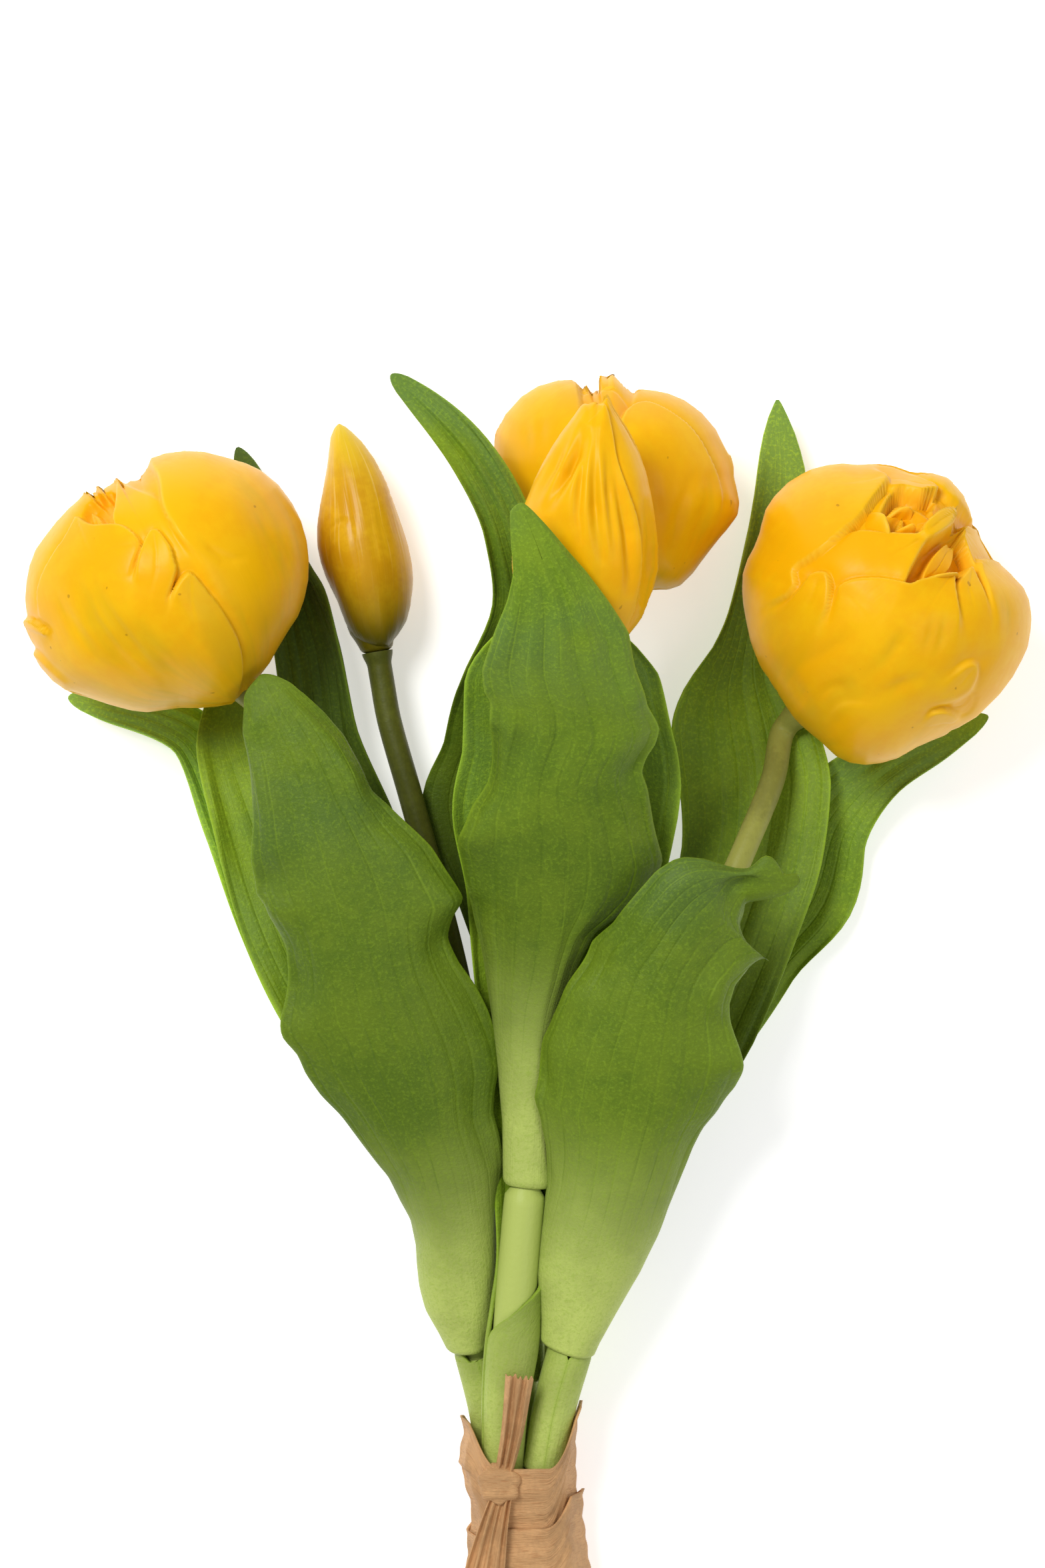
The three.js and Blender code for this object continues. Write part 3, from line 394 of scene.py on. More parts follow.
# Petals standing in the openings of the blooms: azimuth, half-width in degrees, distance from the axis, the
# height of the foot and of the tip along it, how far it leans and curls outwards, and how far its own centre
# is from the axis, towards its face and to the right.
INNER_PETALS = {
    "bloom_left": [
        [10, 60, 9, 34, 51.5, 1, -1, 4, -2], [-50, 50, 10, 34, 50, 1.5, -1, 4, -2],
        [70, 50, 8, 34, 51, 0.5, 0.5, 5, 0], [150, 60, 8, 34, 52, 1, -1, 3, 0],
        [-120, 60, 8, 34, 51, 1, -1, 3, -2], [0, 80, 4.5, 34, 50, -0.5, 0, 5, -4],
    ],
    "bloom_back": [
        [0, 60, 6, 32, 47, 1, -0.5, 6, -1.5], [-60, 50, 7, 32, 46, 1.5, -1, 4, -2],
        [60, 60, 7, 32, 46.5, 1.5, -1, 4, 2], [150, 70, 6, 32, 46, 1, -1, 2, 0],
        [20, 70, 3.5, 32, 48, 0.5, 0, 5, 1],
    ],
    "bloom_right": [
        [-40, 75, 6.5, 34, 54, 0.8, -0.8, 11, -10], [110, 80, 5.2, 34, 55, 0.4, -0.5, 11, -10],
        [-150, 80, 3.8, 34, 55.5, 0.4, -0.4, 11, -10], [30, 100, 2.3, 34, 55.5, 0.2, -0.2, 11, -10],
        [60, 50, 9, 34, 58, 3, 0.5, 9, -6], [40, 40, 7, 34, 54, 3, 0.5, 8, 2],
        [80, 40, 8, 34, 53, 3, 0.5, 6, 5], [10, 44, 9, 34, 50, 2, 0.5, 8, 4],
        [-120, 50, 15, 34, 55, 3, -2, 2, -2], [170, 60, 13, 34, 55, 3, -2, 0, 0],
        [120, 50, 14, 34, 55, 3, -2, 0, 3],
    ],
}

# What the camera sees of each flower, read off the photograph in its own points, 1568 across and 2352 down.
# OUTLINES are the flowers' edges. A row of PETALS_SEEN is one petal, the topmost last: how far it lies
# under the flower's smooth form, how much painted amber shade it takes as a sunken petal, and its margin as
# points with the strength of the step there, 0 where it melts into its neighbour. A row of FURROWS is a soft
# groove, darkened with painted shade as deep as it is: depth, width, points.
OUTLINES = {
    "bloom_left": [
        (39, 875), (42, 850), (50, 825), (63, 805), (80, 782), (100, 760), (112, 750), (121, 741),
        (125, 732), (128, 740), (136, 740), (141, 735), (143, 726), (148, 731), (155, 730), (163, 723),
        (173, 711), (176, 721), (182, 720), (192, 712), (209, 711), (212, 700), (218, 692), (230, 684),
        (250, 677), (280, 674), (310, 676), (340, 684), (370, 693), (395, 705), (420, 725), (440, 752),
        (455, 780), (464, 810), (468, 840), (468, 870), (462, 900), (453, 925), (436, 950), (421, 975),
        (408, 998), (395, 1015), (375, 1038), (350, 1056), (330, 1060), (300, 1063), (270, 1063),
        (245, 1067), (220, 1071), (195, 1069), (160, 1060), (125, 1048), (98, 1038), (78, 1023),
        (63, 1003), (55, 985), (48, 965), (43, 945), (40, 925), (38, 900),
    ],
    "bloom_back": [
        (740, 649), (755, 622), (780, 595), (805, 579), (835, 570), (855, 569), (867, 574), (871, 579),
        (879, 571), (882, 585), (897, 583), (900, 560), (910, 564), (919, 558), (927, 565), (942, 580),
        (953, 588), (960, 580), (985, 584), (1005, 589), (1030, 599), (1057, 617), (1080, 642),
        (1092, 667), (1101, 685), (1104, 700), (1104, 715), (1108, 735), (1111, 755), (1108, 772),
        (1095, 790), (1080, 808), (1060, 835), (1040, 862), (1022, 880), (1005, 886), (980, 887),
        (940, 888), (900, 885), (850, 862), (800, 815), (765, 765), (742, 715), (735, 680),
    ],
    "bloom_right": [
        (1113, 885), (1114, 860), (1120, 840), (1130, 820), (1138, 798), (1142, 780), (1147, 762),
        (1160, 742), (1180, 722), (1200, 710), (1215, 703), (1240, 697), (1262, 695), (1285, 697),
        (1315, 694), (1340, 697), (1365, 704), (1400, 706), (1420, 712), (1435, 725), (1447, 740),
        (1458, 765), (1466, 785), (1475, 805), (1490, 828), (1500, 843), (1520, 860), (1540, 880),
        (1549, 900), (1552, 920), (1550, 945), (1545, 970), (1535, 990), (1520, 1015), (1500, 1040),
        (1480, 1060), (1465, 1075), (1440, 1092), (1410, 1107), (1375, 1124), (1345, 1142), (1320, 1149),
        (1297, 1151), (1275, 1147), (1255, 1137), (1235, 1118), (1215, 1100), (1195, 1080), (1180, 1062),
        (1160, 1032), (1142, 1005), (1130, 985), (1122, 960), (1117, 930), (1114, 905),
    ],
    "bud_closed": [
        (506, 635), (500, 639), (495, 650), (493, 665), (491, 685), (488, 705), (484, 732), (480, 760),
        (477, 790), (476, 820), (479, 845), (485, 868), (494, 890), (506, 915), (520, 942), (533, 960),
        (547, 970), (565, 975), (582, 974), (591, 962), (601, 950), (611, 935), (618, 912), (621, 890),
        (622, 870), (620, 845), (615, 820), (609, 800), (602, 780), (592, 754), (580, 722), (562, 687),
        (543, 660), (528, 645), (517, 637),
    ],
    "bud_ridged": [
        (872, 607), (878, 603), (885, 606), (891, 602), (898, 607), (907, 598), (911, 592), (915, 598),
        (920, 610), (930, 625), (945, 648), (960, 675), (972, 705), (981, 745), (988, 785), (992, 822),
        (991, 857), (982, 890), (965, 930), (946, 957), (925, 978), (900, 985), (850, 980), (810, 955),
        (785, 920), (771, 885), (767, 855), (767, 835), (771, 808), (778, 780), (786, 750), (797, 717),
        (810, 690), (825, 665), (842, 642), (860, 622),
    ],
}

PETALS_SEEN = {
    "bud_closed": [
        (0, 0, [
            (504, 600, 0), (501, 660, 0.3), (497, 700, 0.35), (494, 750, 0.4), (493, 800, 0.4),
            (495, 850, 0.35), (504, 900, 0.2), (520, 990, 0), (700, 990, 0), (700, 600, 0),
        ]),
    ],
    "bloom_left": [
        (3.6, 1.0, [
            (116, 773, 1), (122, 762, 1), (131, 752, 0.8), (142, 744, 0.8), (155, 740, 0.8),
            (167, 735, 0.8), (171, 745, 1), (169, 757, 1), (164, 770, 1), (166, 784, 1), (155, 786, 1),
            (140, 787, 1), (126, 782, 1),
        ]),
        (2.2, 0.4, [
            (128, 782, 1), (127, 768, 1), (128, 759, 1), (134, 762, 1), (140, 766, 1), (143, 775, 1),
            (144, 787, 1),
        ]),
        (1.2, 0.5, [
            (173, 716, 0.5), (190, 700, 0), (205, 690, 0), (222, 688, 0.5), (234, 705, 0.6),
            (238, 735, 0.6), (242, 744, 0.6), (210, 733, 0.3), (192, 726, 0.3),
        ]),
        (0.8, 0.1, [
            (173, 716, 1), (192, 725, 0.8), (210, 732, 0.8), (230, 738, 0.7), (245, 745, 0.5),
            (300, 850, 0), (330, 900, 0), (250, 900, 0), (200, 850, 0), (168, 800, 0.3), (165, 784, 1),
            (164, 770, 1), (169, 755, 1), (172, 735, 1),
        ]),
        (0, 0, [
            (220, 690, 0.6), (229, 702, 1), (236, 711, 1), (239, 725, 1), (240, 742, 1), (244, 760, 1),
            (252, 777, 1), (264, 797, 1), (276, 815, 0.9), (290, 830, 0.6), (303, 845, 0.3), (318, 865, 0),
            (340, 920, 0), (380, 1150, 0), (650, 1150, 0), (650, 500, 0), (222, 500, 0),
        ]),
        (0, 0, [
            (115, 771, 1), (126, 780, 1), (140, 785, 1), (155, 783, 1), (170, 783, 1), (183, 785, 1),
            (195, 793, 1), (205, 803, 1), (211, 813, 1), (209, 822, 1), (203, 838, 0.9), (199, 855, 0.8),
            (200, 868, 0.3), (210, 900, 0), (260, 1000, 0), (260, 1150, 0), (-50, 1150, 0), (20, 980, 0),
            (58, 945, 0.2), (57, 920, 0.5), (56, 893, 1), (59, 875, 1), (65, 857, 1), (74, 840, 1),
            (84, 823, 1), (95, 808, 1), (105, 790, 1),
        ]),
        (0, 0, [
            (223, 794, 1), (231, 790, 1), (239, 794, 1), (246, 803, 1), (253, 813, 1), (259, 825, 1),
            (262, 840, 1), (267, 852, 1), (262, 870, 1), (257, 888, 1), (255, 900, 0.6), (262, 930, 0),
            (280, 1000, 0), (300, 1150, 0), (150, 1150, 0), (180, 950, 0), (197, 880, 0), (201, 862, 0.8),
            (203, 848, 1), (206, 835, 1), (210, 822, 1), (215, 809, 1),
        ]),
        (-0.1, 0, [
            (277, 861, 1), (284, 857, 1), (291, 861, 1), (300, 871, 1), (312, 887, 1), (325, 902, 1),
            (337, 920, 1), (348, 938, 1), (357, 957, 1), (362, 975, 1), (364, 990, 1), (364, 1010, 1),
            (362, 1030, 0.8), (356, 1065, 0.3), (350, 1150, 0), (200, 1150, 0), (220, 1000, 0),
            (245, 930, 0), (254, 905, 0.4), (257, 892, 1), (262, 882, 1), (269, 870, 1),
        ]),
        (-0.5, 0, [
            (20, 925, 0), (45, 926, 1), (60, 936, 1), (73, 947, 1), (73, 954, 0.6), (60, 957, 0),
            (40, 955, 0),
        ]),
        (-0.3, 0, [
            (20, 968, 0), (47, 969, 1), (60, 980, 0.8), (80, 1003, 0.5), (110, 1030, 0.3), (100, 1060, 0),
            (50, 1020, 0),
        ]),
    ],
    "bloom_back": [
        (0.9, 0.5, [
            (866, 600, 0.5), (870, 590, 1), (885, 585, 1), (900, 581, 1), (915, 579, 1), (925, 583, 1),
            (937, 597, 1), (947, 609, 0.6), (960, 640, 0), (940, 700, 0), (880, 700, 0), (860, 640, 0.2),
        ]),
        (0, 0, [
            (866, 560, 0.6), (868, 575, 1), (869, 590, 1), (872, 605, 1), (870, 650, 0.5), (860, 700, 0),
            (850, 950, 0), (650, 950, 0), (650, 450, 0), (850, 450, 0),
        ]),
        (0, 0, [
            (935, 617, 1), (947, 607, 1), (960, 601, 1), (972, 601, 1), (987, 606, 1), (1002, 614, 1),
            (1017, 624, 1), (1035, 637, 1), (1052, 657, 1), (1062, 675, 1), (1072, 695, 1),
            (1080, 715, 0.9), (1085, 740, 0.7), (1083, 765, 0.4), (1070, 800, 0), (1060, 860, 0),
            (1050, 980, 0), (850, 980, 0), (850, 700, 0), (925, 650, 0.6),
        ]),
    ],
    "bloom_right": [
        (4.6, 1.0, [
            (1340, 729, 1), (1360, 726, 1), (1380, 733, 1), (1412, 731, 1), (1412, 745, 1), (1408, 765, 1),
            (1395, 777, 1), (1384, 798, 1), (1350, 799, 1), (1318, 797, 1), (1318, 780, 1), (1322, 765, 1),
            (1332, 745, 1),
        ]),
        (3, 0.9, [
            (1378, 711, 0.8), (1395, 716, 0.8), (1415, 724, 0.8), (1430, 739, 0.8), (1447, 757, 0.8),
            (1460, 777, 0.8), (1466, 790, 0.6), (1444, 788, 1), (1440, 792, 1), (1434, 775, 1),
            (1438, 764, 1), (1420, 765, 1), (1405, 766, 1), (1402, 750, 1), (1410, 738, 1), (1400, 724, 1),
        ]),
        (5, 1.0, [
            (1396, 810, 1), (1410, 799, 1), (1425, 789, 1), (1442, 788, 1), (1449, 800, 1), (1454, 815, 1),
            (1462, 830, 1), (1470, 845, 1), (1478, 870, 1), (1470, 870, 1), (1460, 852, 1), (1450, 860, 1),
            (1436, 874, 1), (1434, 860, 1), (1425, 859, 1), (1410, 862, 1), (1395, 866, 1), (1380, 870, 1),
            (1368, 875, 1), (1360, 873, 1), (1365, 858, 1), (1375, 838, 1), (1385, 820, 1),
        ]),
        (3, 0.7, [
            (1319, 790, 1), (1320, 775, 1), (1327, 760, 1), (1337, 747, 1), (1346, 740, 1), (1360, 740, 1),
            (1375, 745, 1), (1387, 750, 1), (1397, 757, 1), (1409, 766, 1), (1395, 778, 1), (1382, 792, 1),
            (1365, 800, 0.3), (1340, 800, 0.3),
        ]),
        (4.4, 1.0, [
            (1332, 792, 1), (1335, 777, 1), (1342, 765, 1), (1350, 757, 1), (1360, 753, 1), (1374, 754, 1),
            (1381, 762, 1), (1379, 775, 1), (1370, 788, 1), (1364, 799, 0.3), (1340, 800, 0.3),
        ]),
        (3.4, 0.6, [
            (1340, 796, 1), (1345, 780, 1), (1351, 767, 1), (1357, 757, 1), (1362, 767, 1), (1361, 780, 1),
            (1357, 797, 1), (1350, 802, 0.3),
        ]),
        (3, 0.3, [
            (1431, 800, 1), (1437, 809, 0.8), (1443, 807, 1), (1442, 830, 1), (1434, 850, 1),
            (1428, 862, 0.3), (1385, 870, 0.3), (1390, 855, 1), (1400, 835, 1), (1412, 818, 1),
        ]),
        (1.6, 0.2, [
            (1336, 716, 0.5), (1347, 723, 0.6), (1341, 730, 1), (1331, 745, 1), (1323, 762, 1),
            (1319, 780, 1), (1318, 796, 0.5), (1270, 796, 0), (1240, 800, 0), (1290, 740, 0),
        ]),
        (0.4, 0.2, [
            (1343, 728, 0.8), (1357, 727, 1), (1370, 731, 1), (1387, 734, 1), (1402, 731, 1),
            (1414, 731, 1), (1408, 723, 0.8), (1395, 716, 0.7), (1380, 711, 0.7), (1340, 702, 0),
            (1290, 700, 0), (1320, 720, 0),
        ]),
        (0.8, 0.2, [
            (1444, 785, 1), (1460, 785, 1), (1475, 800, 0), (1510, 840, 0), (1490, 850, 0),
            (1480, 860, 0.5), (1478, 873, 1), (1474, 862, 1), (1468, 845, 1), (1460, 830, 1),
            (1452, 815, 1), (1447, 800, 1),
        ]),
        (0, 0, [
            (1469, 838, 1), (1480, 837, 1), (1490, 839, 1), (1510, 845, 0.5), (1620, 850, 0),
            (1620, 1150, 0), (1500, 1150, 0), (1490, 960, 0), (1492, 930, 0.3), (1489, 910, 0.7),
            (1484, 888, 1), (1478, 870, 1), (1472, 855, 1),
        ]),
        (0.4, 0, [
            (1459, 844, 1), (1465, 856, 1), (1471, 870, 1), (1480, 885, 0.8), (1488, 905, 0.5),
            (1492, 940, 0), (1490, 1000, 0), (1440, 1000, 0), (1440, 950, 0), (1437, 900, 0),
            (1434, 880, 0.5), (1441, 867, 1), (1450, 857, 1),
        ]),
        (0.5, 0.1, [
            (1270, 790, 0.6), (1290, 789, 1), (1312, 792, 1), (1337, 795, 1), (1362, 796, 1),
            (1380, 796, 1), (1397, 794, 1), (1393, 808, 1), (1384, 822, 1), (1375, 840, 1), (1367, 855, 1),
            (1361, 873, 1), (1340, 900, 0), (1260, 950, 0), (1200, 880, 0), (1200, 850, 0), (1240, 815, 0),
        ]),
        (-0.4, 0, [
            (1441, 761, 1), (1422, 761, 1), (1407, 766, 1), (1395, 776, 1), (1382, 789, 1),
            (1381, 800, 0.5), (1396, 811, 0.8), (1410, 801, 1), (1425, 791, 1), (1433, 780, 1),
        ]),
        (-0.1, 0, [
            (1337, 714, 1), (1325, 731, 1), (1315, 742, 1), (1305, 755, 1), (1297, 767, 1), (1285, 780, 1),
            (1270, 790, 1), (1255, 804, 1), (1240, 818, 1), (1225, 829, 1), (1210, 840, 1), (1198, 848, 1),
            (1191, 856, 1), (1193, 868, 1), (1194, 878, 1), (1186, 892, 1), (1172, 901, 1),
            (1158, 910, 0.7), (1150, 920, 0.3), (1140, 940, 0), (1100, 1000, 0), (950, 1000, 0),
            (950, 550, 0), (1290, 550, 0), (1300, 690, 0), (1315, 703, 0.5),
        ]),
        (0, 0, [
            (1255, 880, 1), (1265, 872, 1), (1280, 867, 1), (1300, 865, 1), (1320, 865, 1), (1340, 868, 1),
            (1360, 873, 1), (1368, 873, 1), (1380, 867, 1), (1395, 864, 1), (1410, 860, 1), (1422, 857, 1),
            (1433, 857, 1), (1434, 866, 1), (1434, 880, 1), (1437, 900, 1), (1441, 920, 0.9),
            (1443, 940, 0.5), (1440, 970, 0), (1420, 1010, 0), (1380, 1050, 0), (1240, 1050, 0),
            (1200, 1000, 0), (1230, 940, 0), (1247, 900, 0.3),
        ]),
        (-0.1, 0, [
            (1210, 866, 1), (1217, 858, 1), (1227, 855, 1), (1237, 855, 1), (1243, 862, 1), (1246, 877, 1),
            (1245, 895, 1), (1242, 912, 1), (1237, 925, 0.8), (1230, 945, 0.2), (1220, 1000, 0),
            (1180, 1060, 0), (1100, 1000, 0), (1130, 930, 0), (1165, 915, 0.3), (1186, 897, 0.8),
            (1200, 880, 0.8),
        ]),
        (0, 0, [
            (1240, 1077, 0), (1247, 1068, 0.4), (1257, 1059, 0.6), (1272, 1054, 0.6), (1290, 1055, 0.3),
            (1330, 1060, 0), (1380, 1075, 0), (1400, 1250, 0), (1200, 1250, 0), (1200, 1100, 0),
        ]),
        (1.0, 0.3, [
            (1405, 1064, 0.6), (1425, 1060, 0.6), (1437, 1055, 0.6), (1450, 1045, 0.6), (1460, 1040, 0.6),
            (1464, 1050, 0.6), (1458, 1065, 0.6), (1447, 1074, 0.6), (1432, 1074, 0.6), (1417, 1070, 0.6),
        ]),
        (-0.2, 0, [
            (1407, 1030, 0.1), (1422, 1016, 0.4), (1435, 1005, 0.6), (1447, 996, 0.8), (1460, 992, 0.8),
            (1468, 996, 0.8), (1469, 1004, 0.8), (1467, 1017, 0.7), (1460, 1033, 0.5), (1452, 1042, 0.3),
            (1430, 1055, 0.2), (1405, 1060, 0),
        ]),
        (0.2, 0, [
            (1390, 1076, 0.7), (1400, 1069, 1), (1417, 1066, 1), (1432, 1070, 1), (1442, 1077, 0.5),
            (1440, 1095, 0), (1400, 1110, 0), (1380, 1090, 0),
        ]),
    ],
    "bud_ridged": [
        (0, 0, [
            (868, 590, 0), (885, 600, 0.6), (900, 604, 0.6), (908, 604, 0.8), (912, 612, 1), (920, 647, 1),
            (927, 685, 1), (935, 710, 1), (947, 747, 1), (957, 785, 1), (962, 822, 1), (962, 872, 1),
            (955, 910, 1), (942, 945, 1), (925, 1050, 0), (650, 1050, 0), (650, 590, 0),
        ]),
    ],
}

FURROWS = {
    "bud_closed": [
        (0.3, 0.6, [(498, 797), (501, 788), (507, 783), (515, 780), (524, 779)]),
        (0.15, 0.7, [(515, 690), (520, 740), (527, 790), (537, 840), (541, 870)]),
        (0.15, 0.7, [(540, 700), (552, 760), (562, 820), (566, 860)]),
        (0.15, 0.7, [(555, 720), (570, 780), (579, 840)]),
    ],
    "bloom_left": [
        (0.5, 1.3, [
            (128, 850), (140, 875), (152, 902), (170, 930), (190, 955), (215, 985), (242, 1015),
            (262, 1042),
        ]),
        (0.45, 1.5, [
            (102, 855), (115, 875), (130, 900), (140, 930), (160, 957), (180, 982), (205, 1005),
            (230, 1030),
        ]),
        (0.3, 1.5, [(200, 930), (225, 965), (250, 1000), (275, 1030)]),
        (0.35, 2.2, [(350, 700), (375, 735), (398, 775), (411, 820), (418, 870), (415, 920)]),
        (0.3, 1.3, [(405, 740), (425, 790), (434, 840), (436, 880)]),
        (0.25, 0.8, [(295, 800), (320, 825), (350, 838), (375, 838)]),
        (0.25, 0.8, [(310, 815), (335, 840), (362, 852)]),
        (0.3, 1.2, [(80, 880), (95, 915), (120, 950), (150, 985)]),
    ],
    "bloom_back": [
        (0.5, 1.4, [(1045, 695), (1037, 720), (1027, 747), (1017, 777), (1010, 807), (1000, 840)]),
        (0.4, 1.4, [(1062, 700), (1066, 730), (1062, 760), (1050, 785), (1030, 822), (1005, 850)]),
        (0.4, 1.6, [(972, 680), (983, 730), (988, 770), (992, 810)]),
        (0.3, 1.5, [(1015, 680), (1010, 740), (1003, 790)]),
        (0.3, 1.2, [(788, 620), (790, 650), (795, 680)]), (0.3, 1.2, [(812, 610), (812, 645), (816, 680)]),
    ],
    "bloom_right": [
        (0.45, 1.6, [(1205, 1060), (1240, 1038), (1260, 1032), (1285, 1024)]),
        (0.4, 1.6, [(1295, 1058), (1325, 1042), (1350, 1030), (1375, 1020), (1395, 1010)]),
        (0.35, 1.6, [(1195, 1000), (1230, 985), (1260, 965), (1285, 935)]),
        (0.35, 1.6, [(1290, 1020), (1325, 992), (1348, 965), (1362, 940)]),
        (0.3, 1.0, [(1385, 985), (1395, 950), (1402, 915)]),
        (0.3, 1.0, [(1402, 990), (1412, 955), (1415, 915)]),
        (0.3, 1.4, [(1180, 1000), (1200, 1040), (1225, 1080)]),
        (0.3, 1.4, [(1500, 880), (1515, 920), (1515, 960)]),
    ],
    "bud_ridged": [
        (2.6, 1.5, [(878, 635), (872, 657), (862, 683), (845, 712), (828, 742), (815, 772)]),
        (1.5, 1.3, [(895, 640), (893, 680), (892, 720), (894, 760), (897, 800), (905, 850)]),
        (1.0, 1.0, [(884, 640), (877, 680), (871, 720), (867, 770), (872, 820)]),
        (1.1, 1.1, [(903, 640), (910, 690), (915, 740), (920, 790), (925, 850)]),
        (1.4, 1.2, [(912, 650), (922, 700), (932, 750), (941, 800), (945, 860), (942, 900)]),
        (1.1, 1.2, [(862, 640), (845, 668), (826, 700), (808, 735), (797, 765)]),
        (1.2, 1.2, [(965, 745), (974, 785), (977, 830), (974, 870), (964, 910)]),
    ],
}

# The edges of leaves where they are in sight, read off the photograph in the same way: 0 is the left edge
# and -1 the right. Two leaves show behind the same edge at the lower left.
LOW_LEFT_EDGE = [
    (430, 1548), (457, 1580), (492, 1640), (524, 1672), (556, 1718), (579, 1750), (608, 1803), (625, 1833),
    (636, 1870), (638, 1900),
]

LEAF_EDGES = {
    "leaf_under_left": {0: LOW_LEFT_EDGE}, "leaf_low_left": {0: LOW_LEFT_EDGE},
    "leaf_back_centre": {
        -1: [
            (985, 1000), (1000, 1050), (1008, 1085), (1018, 1130), (1022, 1180), (1015, 1230),
            (1003, 1280), (990, 1330),
        ],
    },
    "leaf_back_right": {
        0: [
            (1166, 596), (1151, 629), (1141, 673), (1134, 734), (1125, 786), (1110, 838), (1095, 890),
            (1082, 933), (1063, 977), (1043, 1003), (1025, 1033), (1014, 1063), (1010, 1098), (1014, 1142),
            (1021, 1196), (1022, 1240), (1019, 1287),
        ],
    },
    "leaf_front_left": {
        0: [
            (370, 1020), (366, 1050), (365, 1100), (375, 1165), (381, 1230), (378, 1289), (381, 1341),
            (398, 1360), (407, 1386), (424, 1425), (427, 1464), (427, 1503), (424, 1529), (430, 1549),
            (453, 1575), (463, 1607), (485, 1640), (515, 1672), (547, 1718), (570, 1750), (582, 1765),
            (600, 1803), (617, 1833), (627, 1870), (629, 1900), (632, 1927), (640, 1957), (660, 1993),
            (673, 2020), (684, 2045),
        ],
        -1: [
            (455, 1040), (490, 1068), (521, 1100), (544, 1146), (560, 1185), (586, 1207), (612, 1237),
            (645, 1272), (671, 1315), (690, 1347), (680, 1373), (676, 1406), (690, 1445), (716, 1484),
            (733, 1516), (746, 1555), (749, 1594), (739, 1633), (734, 1666), (742, 1698), (749, 1740),
            (745, 1800), (743, 1870), (741, 1930), (738, 1980), (732, 2003), (728, 2045),
        ],
    },
    "leaf_front_centre": {
        0: [
            (765, 765), (766, 800), (770, 862), (761, 902), (744, 943), (724, 1004), (727, 1035),
            (738, 1052), (738, 1093), (727, 1161), (721, 1188), (704, 1212), (697, 1256), (700, 1310),
            (710, 1378), (721, 1433), (738, 1520), (750, 1600), (757, 1680), (758, 1790),
        ],
        -1: [
            (803, 770), (819, 787), (880, 855), (914, 902), (945, 950), (952, 1004), (962, 1052),
            (989, 1089), (986, 1120), (965, 1161), (967, 1195), (982, 1242), (999, 1290), (985, 1330),
            (940, 1370), (890, 1405), (865, 1450), (845, 1510), (830, 1570), (825, 1680), (822, 1790),
        ],
    },
    "leaf_front_right": {
        0: [
            (1205, 1308), (1185, 1312), (1176, 1314), (1170, 1300), (1160, 1286), (1148, 1282),
            (1140, 1290), (1132, 1303), (1122, 1309), (1108, 1308), (1090, 1302), (1060, 1290),
            (1030, 1285), (1011, 1289), (985, 1306), (952, 1352), (925, 1388), (886, 1412), (872, 1445),
            (846, 1497), (826, 1524), (810, 1557), (808, 1610), (805, 1643), (816, 1669), (823, 1715),
            (823, 1768), (813, 1834), (809, 1900), (812, 1940), (815, 1973), (814, 2000), (812, 2040),
        ],
        -1: [
            (1206, 1330), (1199, 1352), (1175, 1368), (1153, 1386), (1156, 1402), (1146, 1431),
            (1123, 1458), (1103, 1478), (1094, 1504), (1100, 1550), (1105, 1590), (1103, 1629),
            (1084, 1669), (1061, 1695), (1044, 1722), (1024, 1761), (1000, 1810), (983, 1850), (960, 1900),
            (937, 1940), (913, 1983), (897, 2013), (885, 2040),
        ],
    },
}

# Painted light and shade: how much each leaf's colour is lightened or darkened beside the front ones, at its
# foot and at its tip, for the light that falls on it.
LEAF_PAINTED_LIGHT = {
    "leaf_low_left": (1.4, 2.8), "leaf_under_left": (1.0, 1.7), "leaf_bud_left": (0.7, 0.75),
    "leaf_back_left": (0.45, 1.5), "leaf_back_centre": (1.5, 1.9), "leaf_back_right": (0.6, 2.3),
    "leaf_far_right": (1.0, 1.7), "leaf_front_centre": (0.85, 1.4), "leaf_front_left": (0.85, 1.0),
}

# Sleeves that hug their stems more closely than the solids' six-sided ones can.
FINER_SLEEVES = {
    "leaf_front_left": {"radii": [5.2, 5.5]}, "leaf_front_centre": {"radii": [3.95, 3.95]},
    "leaf_front_right": {"radii": [5.2, 5.5]}, "leaf_under_left": {"wrap": 361},
    "leaf_back_right": {"wrap": 361},
}

# Folds of the front leaves: where across (-1 to 1) and along (0 to 1), how far they reach each way, and how
# high they stand, in millimetres.
LEAF_FOLDS = {
    "leaf_front_left": (
        (0.7, 0.785, 0.35, 0.03, 1.6), (0.72, 0.725, 0.3, 0.025, -1.6), (-0.8, 0.7, 0.3, 0.03, -1.5),
        (-0.88, 0.645, 0.25, 0.025, 1.6), (0.85, 0.56, 0.25, 0.03, -1.6), (0.9, 0.62, 0.22, 0.025, 1.5),
        (-0.9, 0.5, 0.2, 0.025, 1.4), (-0.85, 0.56, 0.25, 0.025, -1.2), (-0.75, 0.9, 0.5, 0.03, 0.8),
    ),
    "leaf_front_centre": (
        (0.9, 0.7, 0.3, 0.03, 1.8), (0.88, 0.62, 0.3, 0.035, -2.0), (0.95, 0.54, 0.25, 0.03, 1.4),
        (-0.9, 0.57, 0.28, 0.03, -1.8), (-0.95, 0.65, 0.3, 0.035, 1.5), (-0.9, 0.5, 0.25, 0.03, 1.3),
        (0.1, 0.8, 0.6, 0.05, 0.8),
    ),
    "leaf_front_right": (
        (0.1, 0.88, 0.4, 0.045, -2.6), (0.75, 0.8, 0.3, 0.06, 1.6), (0.5, 0.72, 0.2, 0.1, -1.0),
        (-0.9, 0.58, 0.25, 0.03, 1.5), (-0.85, 0.64, 0.25, 0.03, -1.4), (0.9, 0.6, 0.25, 0.03, -1.5),
        (0.9, 0.54, 0.25, 0.03, 1.5), (-0.9, 0.46, 0.25, 0.03, -1.2),
    ),
}

# Curves and sections, as in the solids.


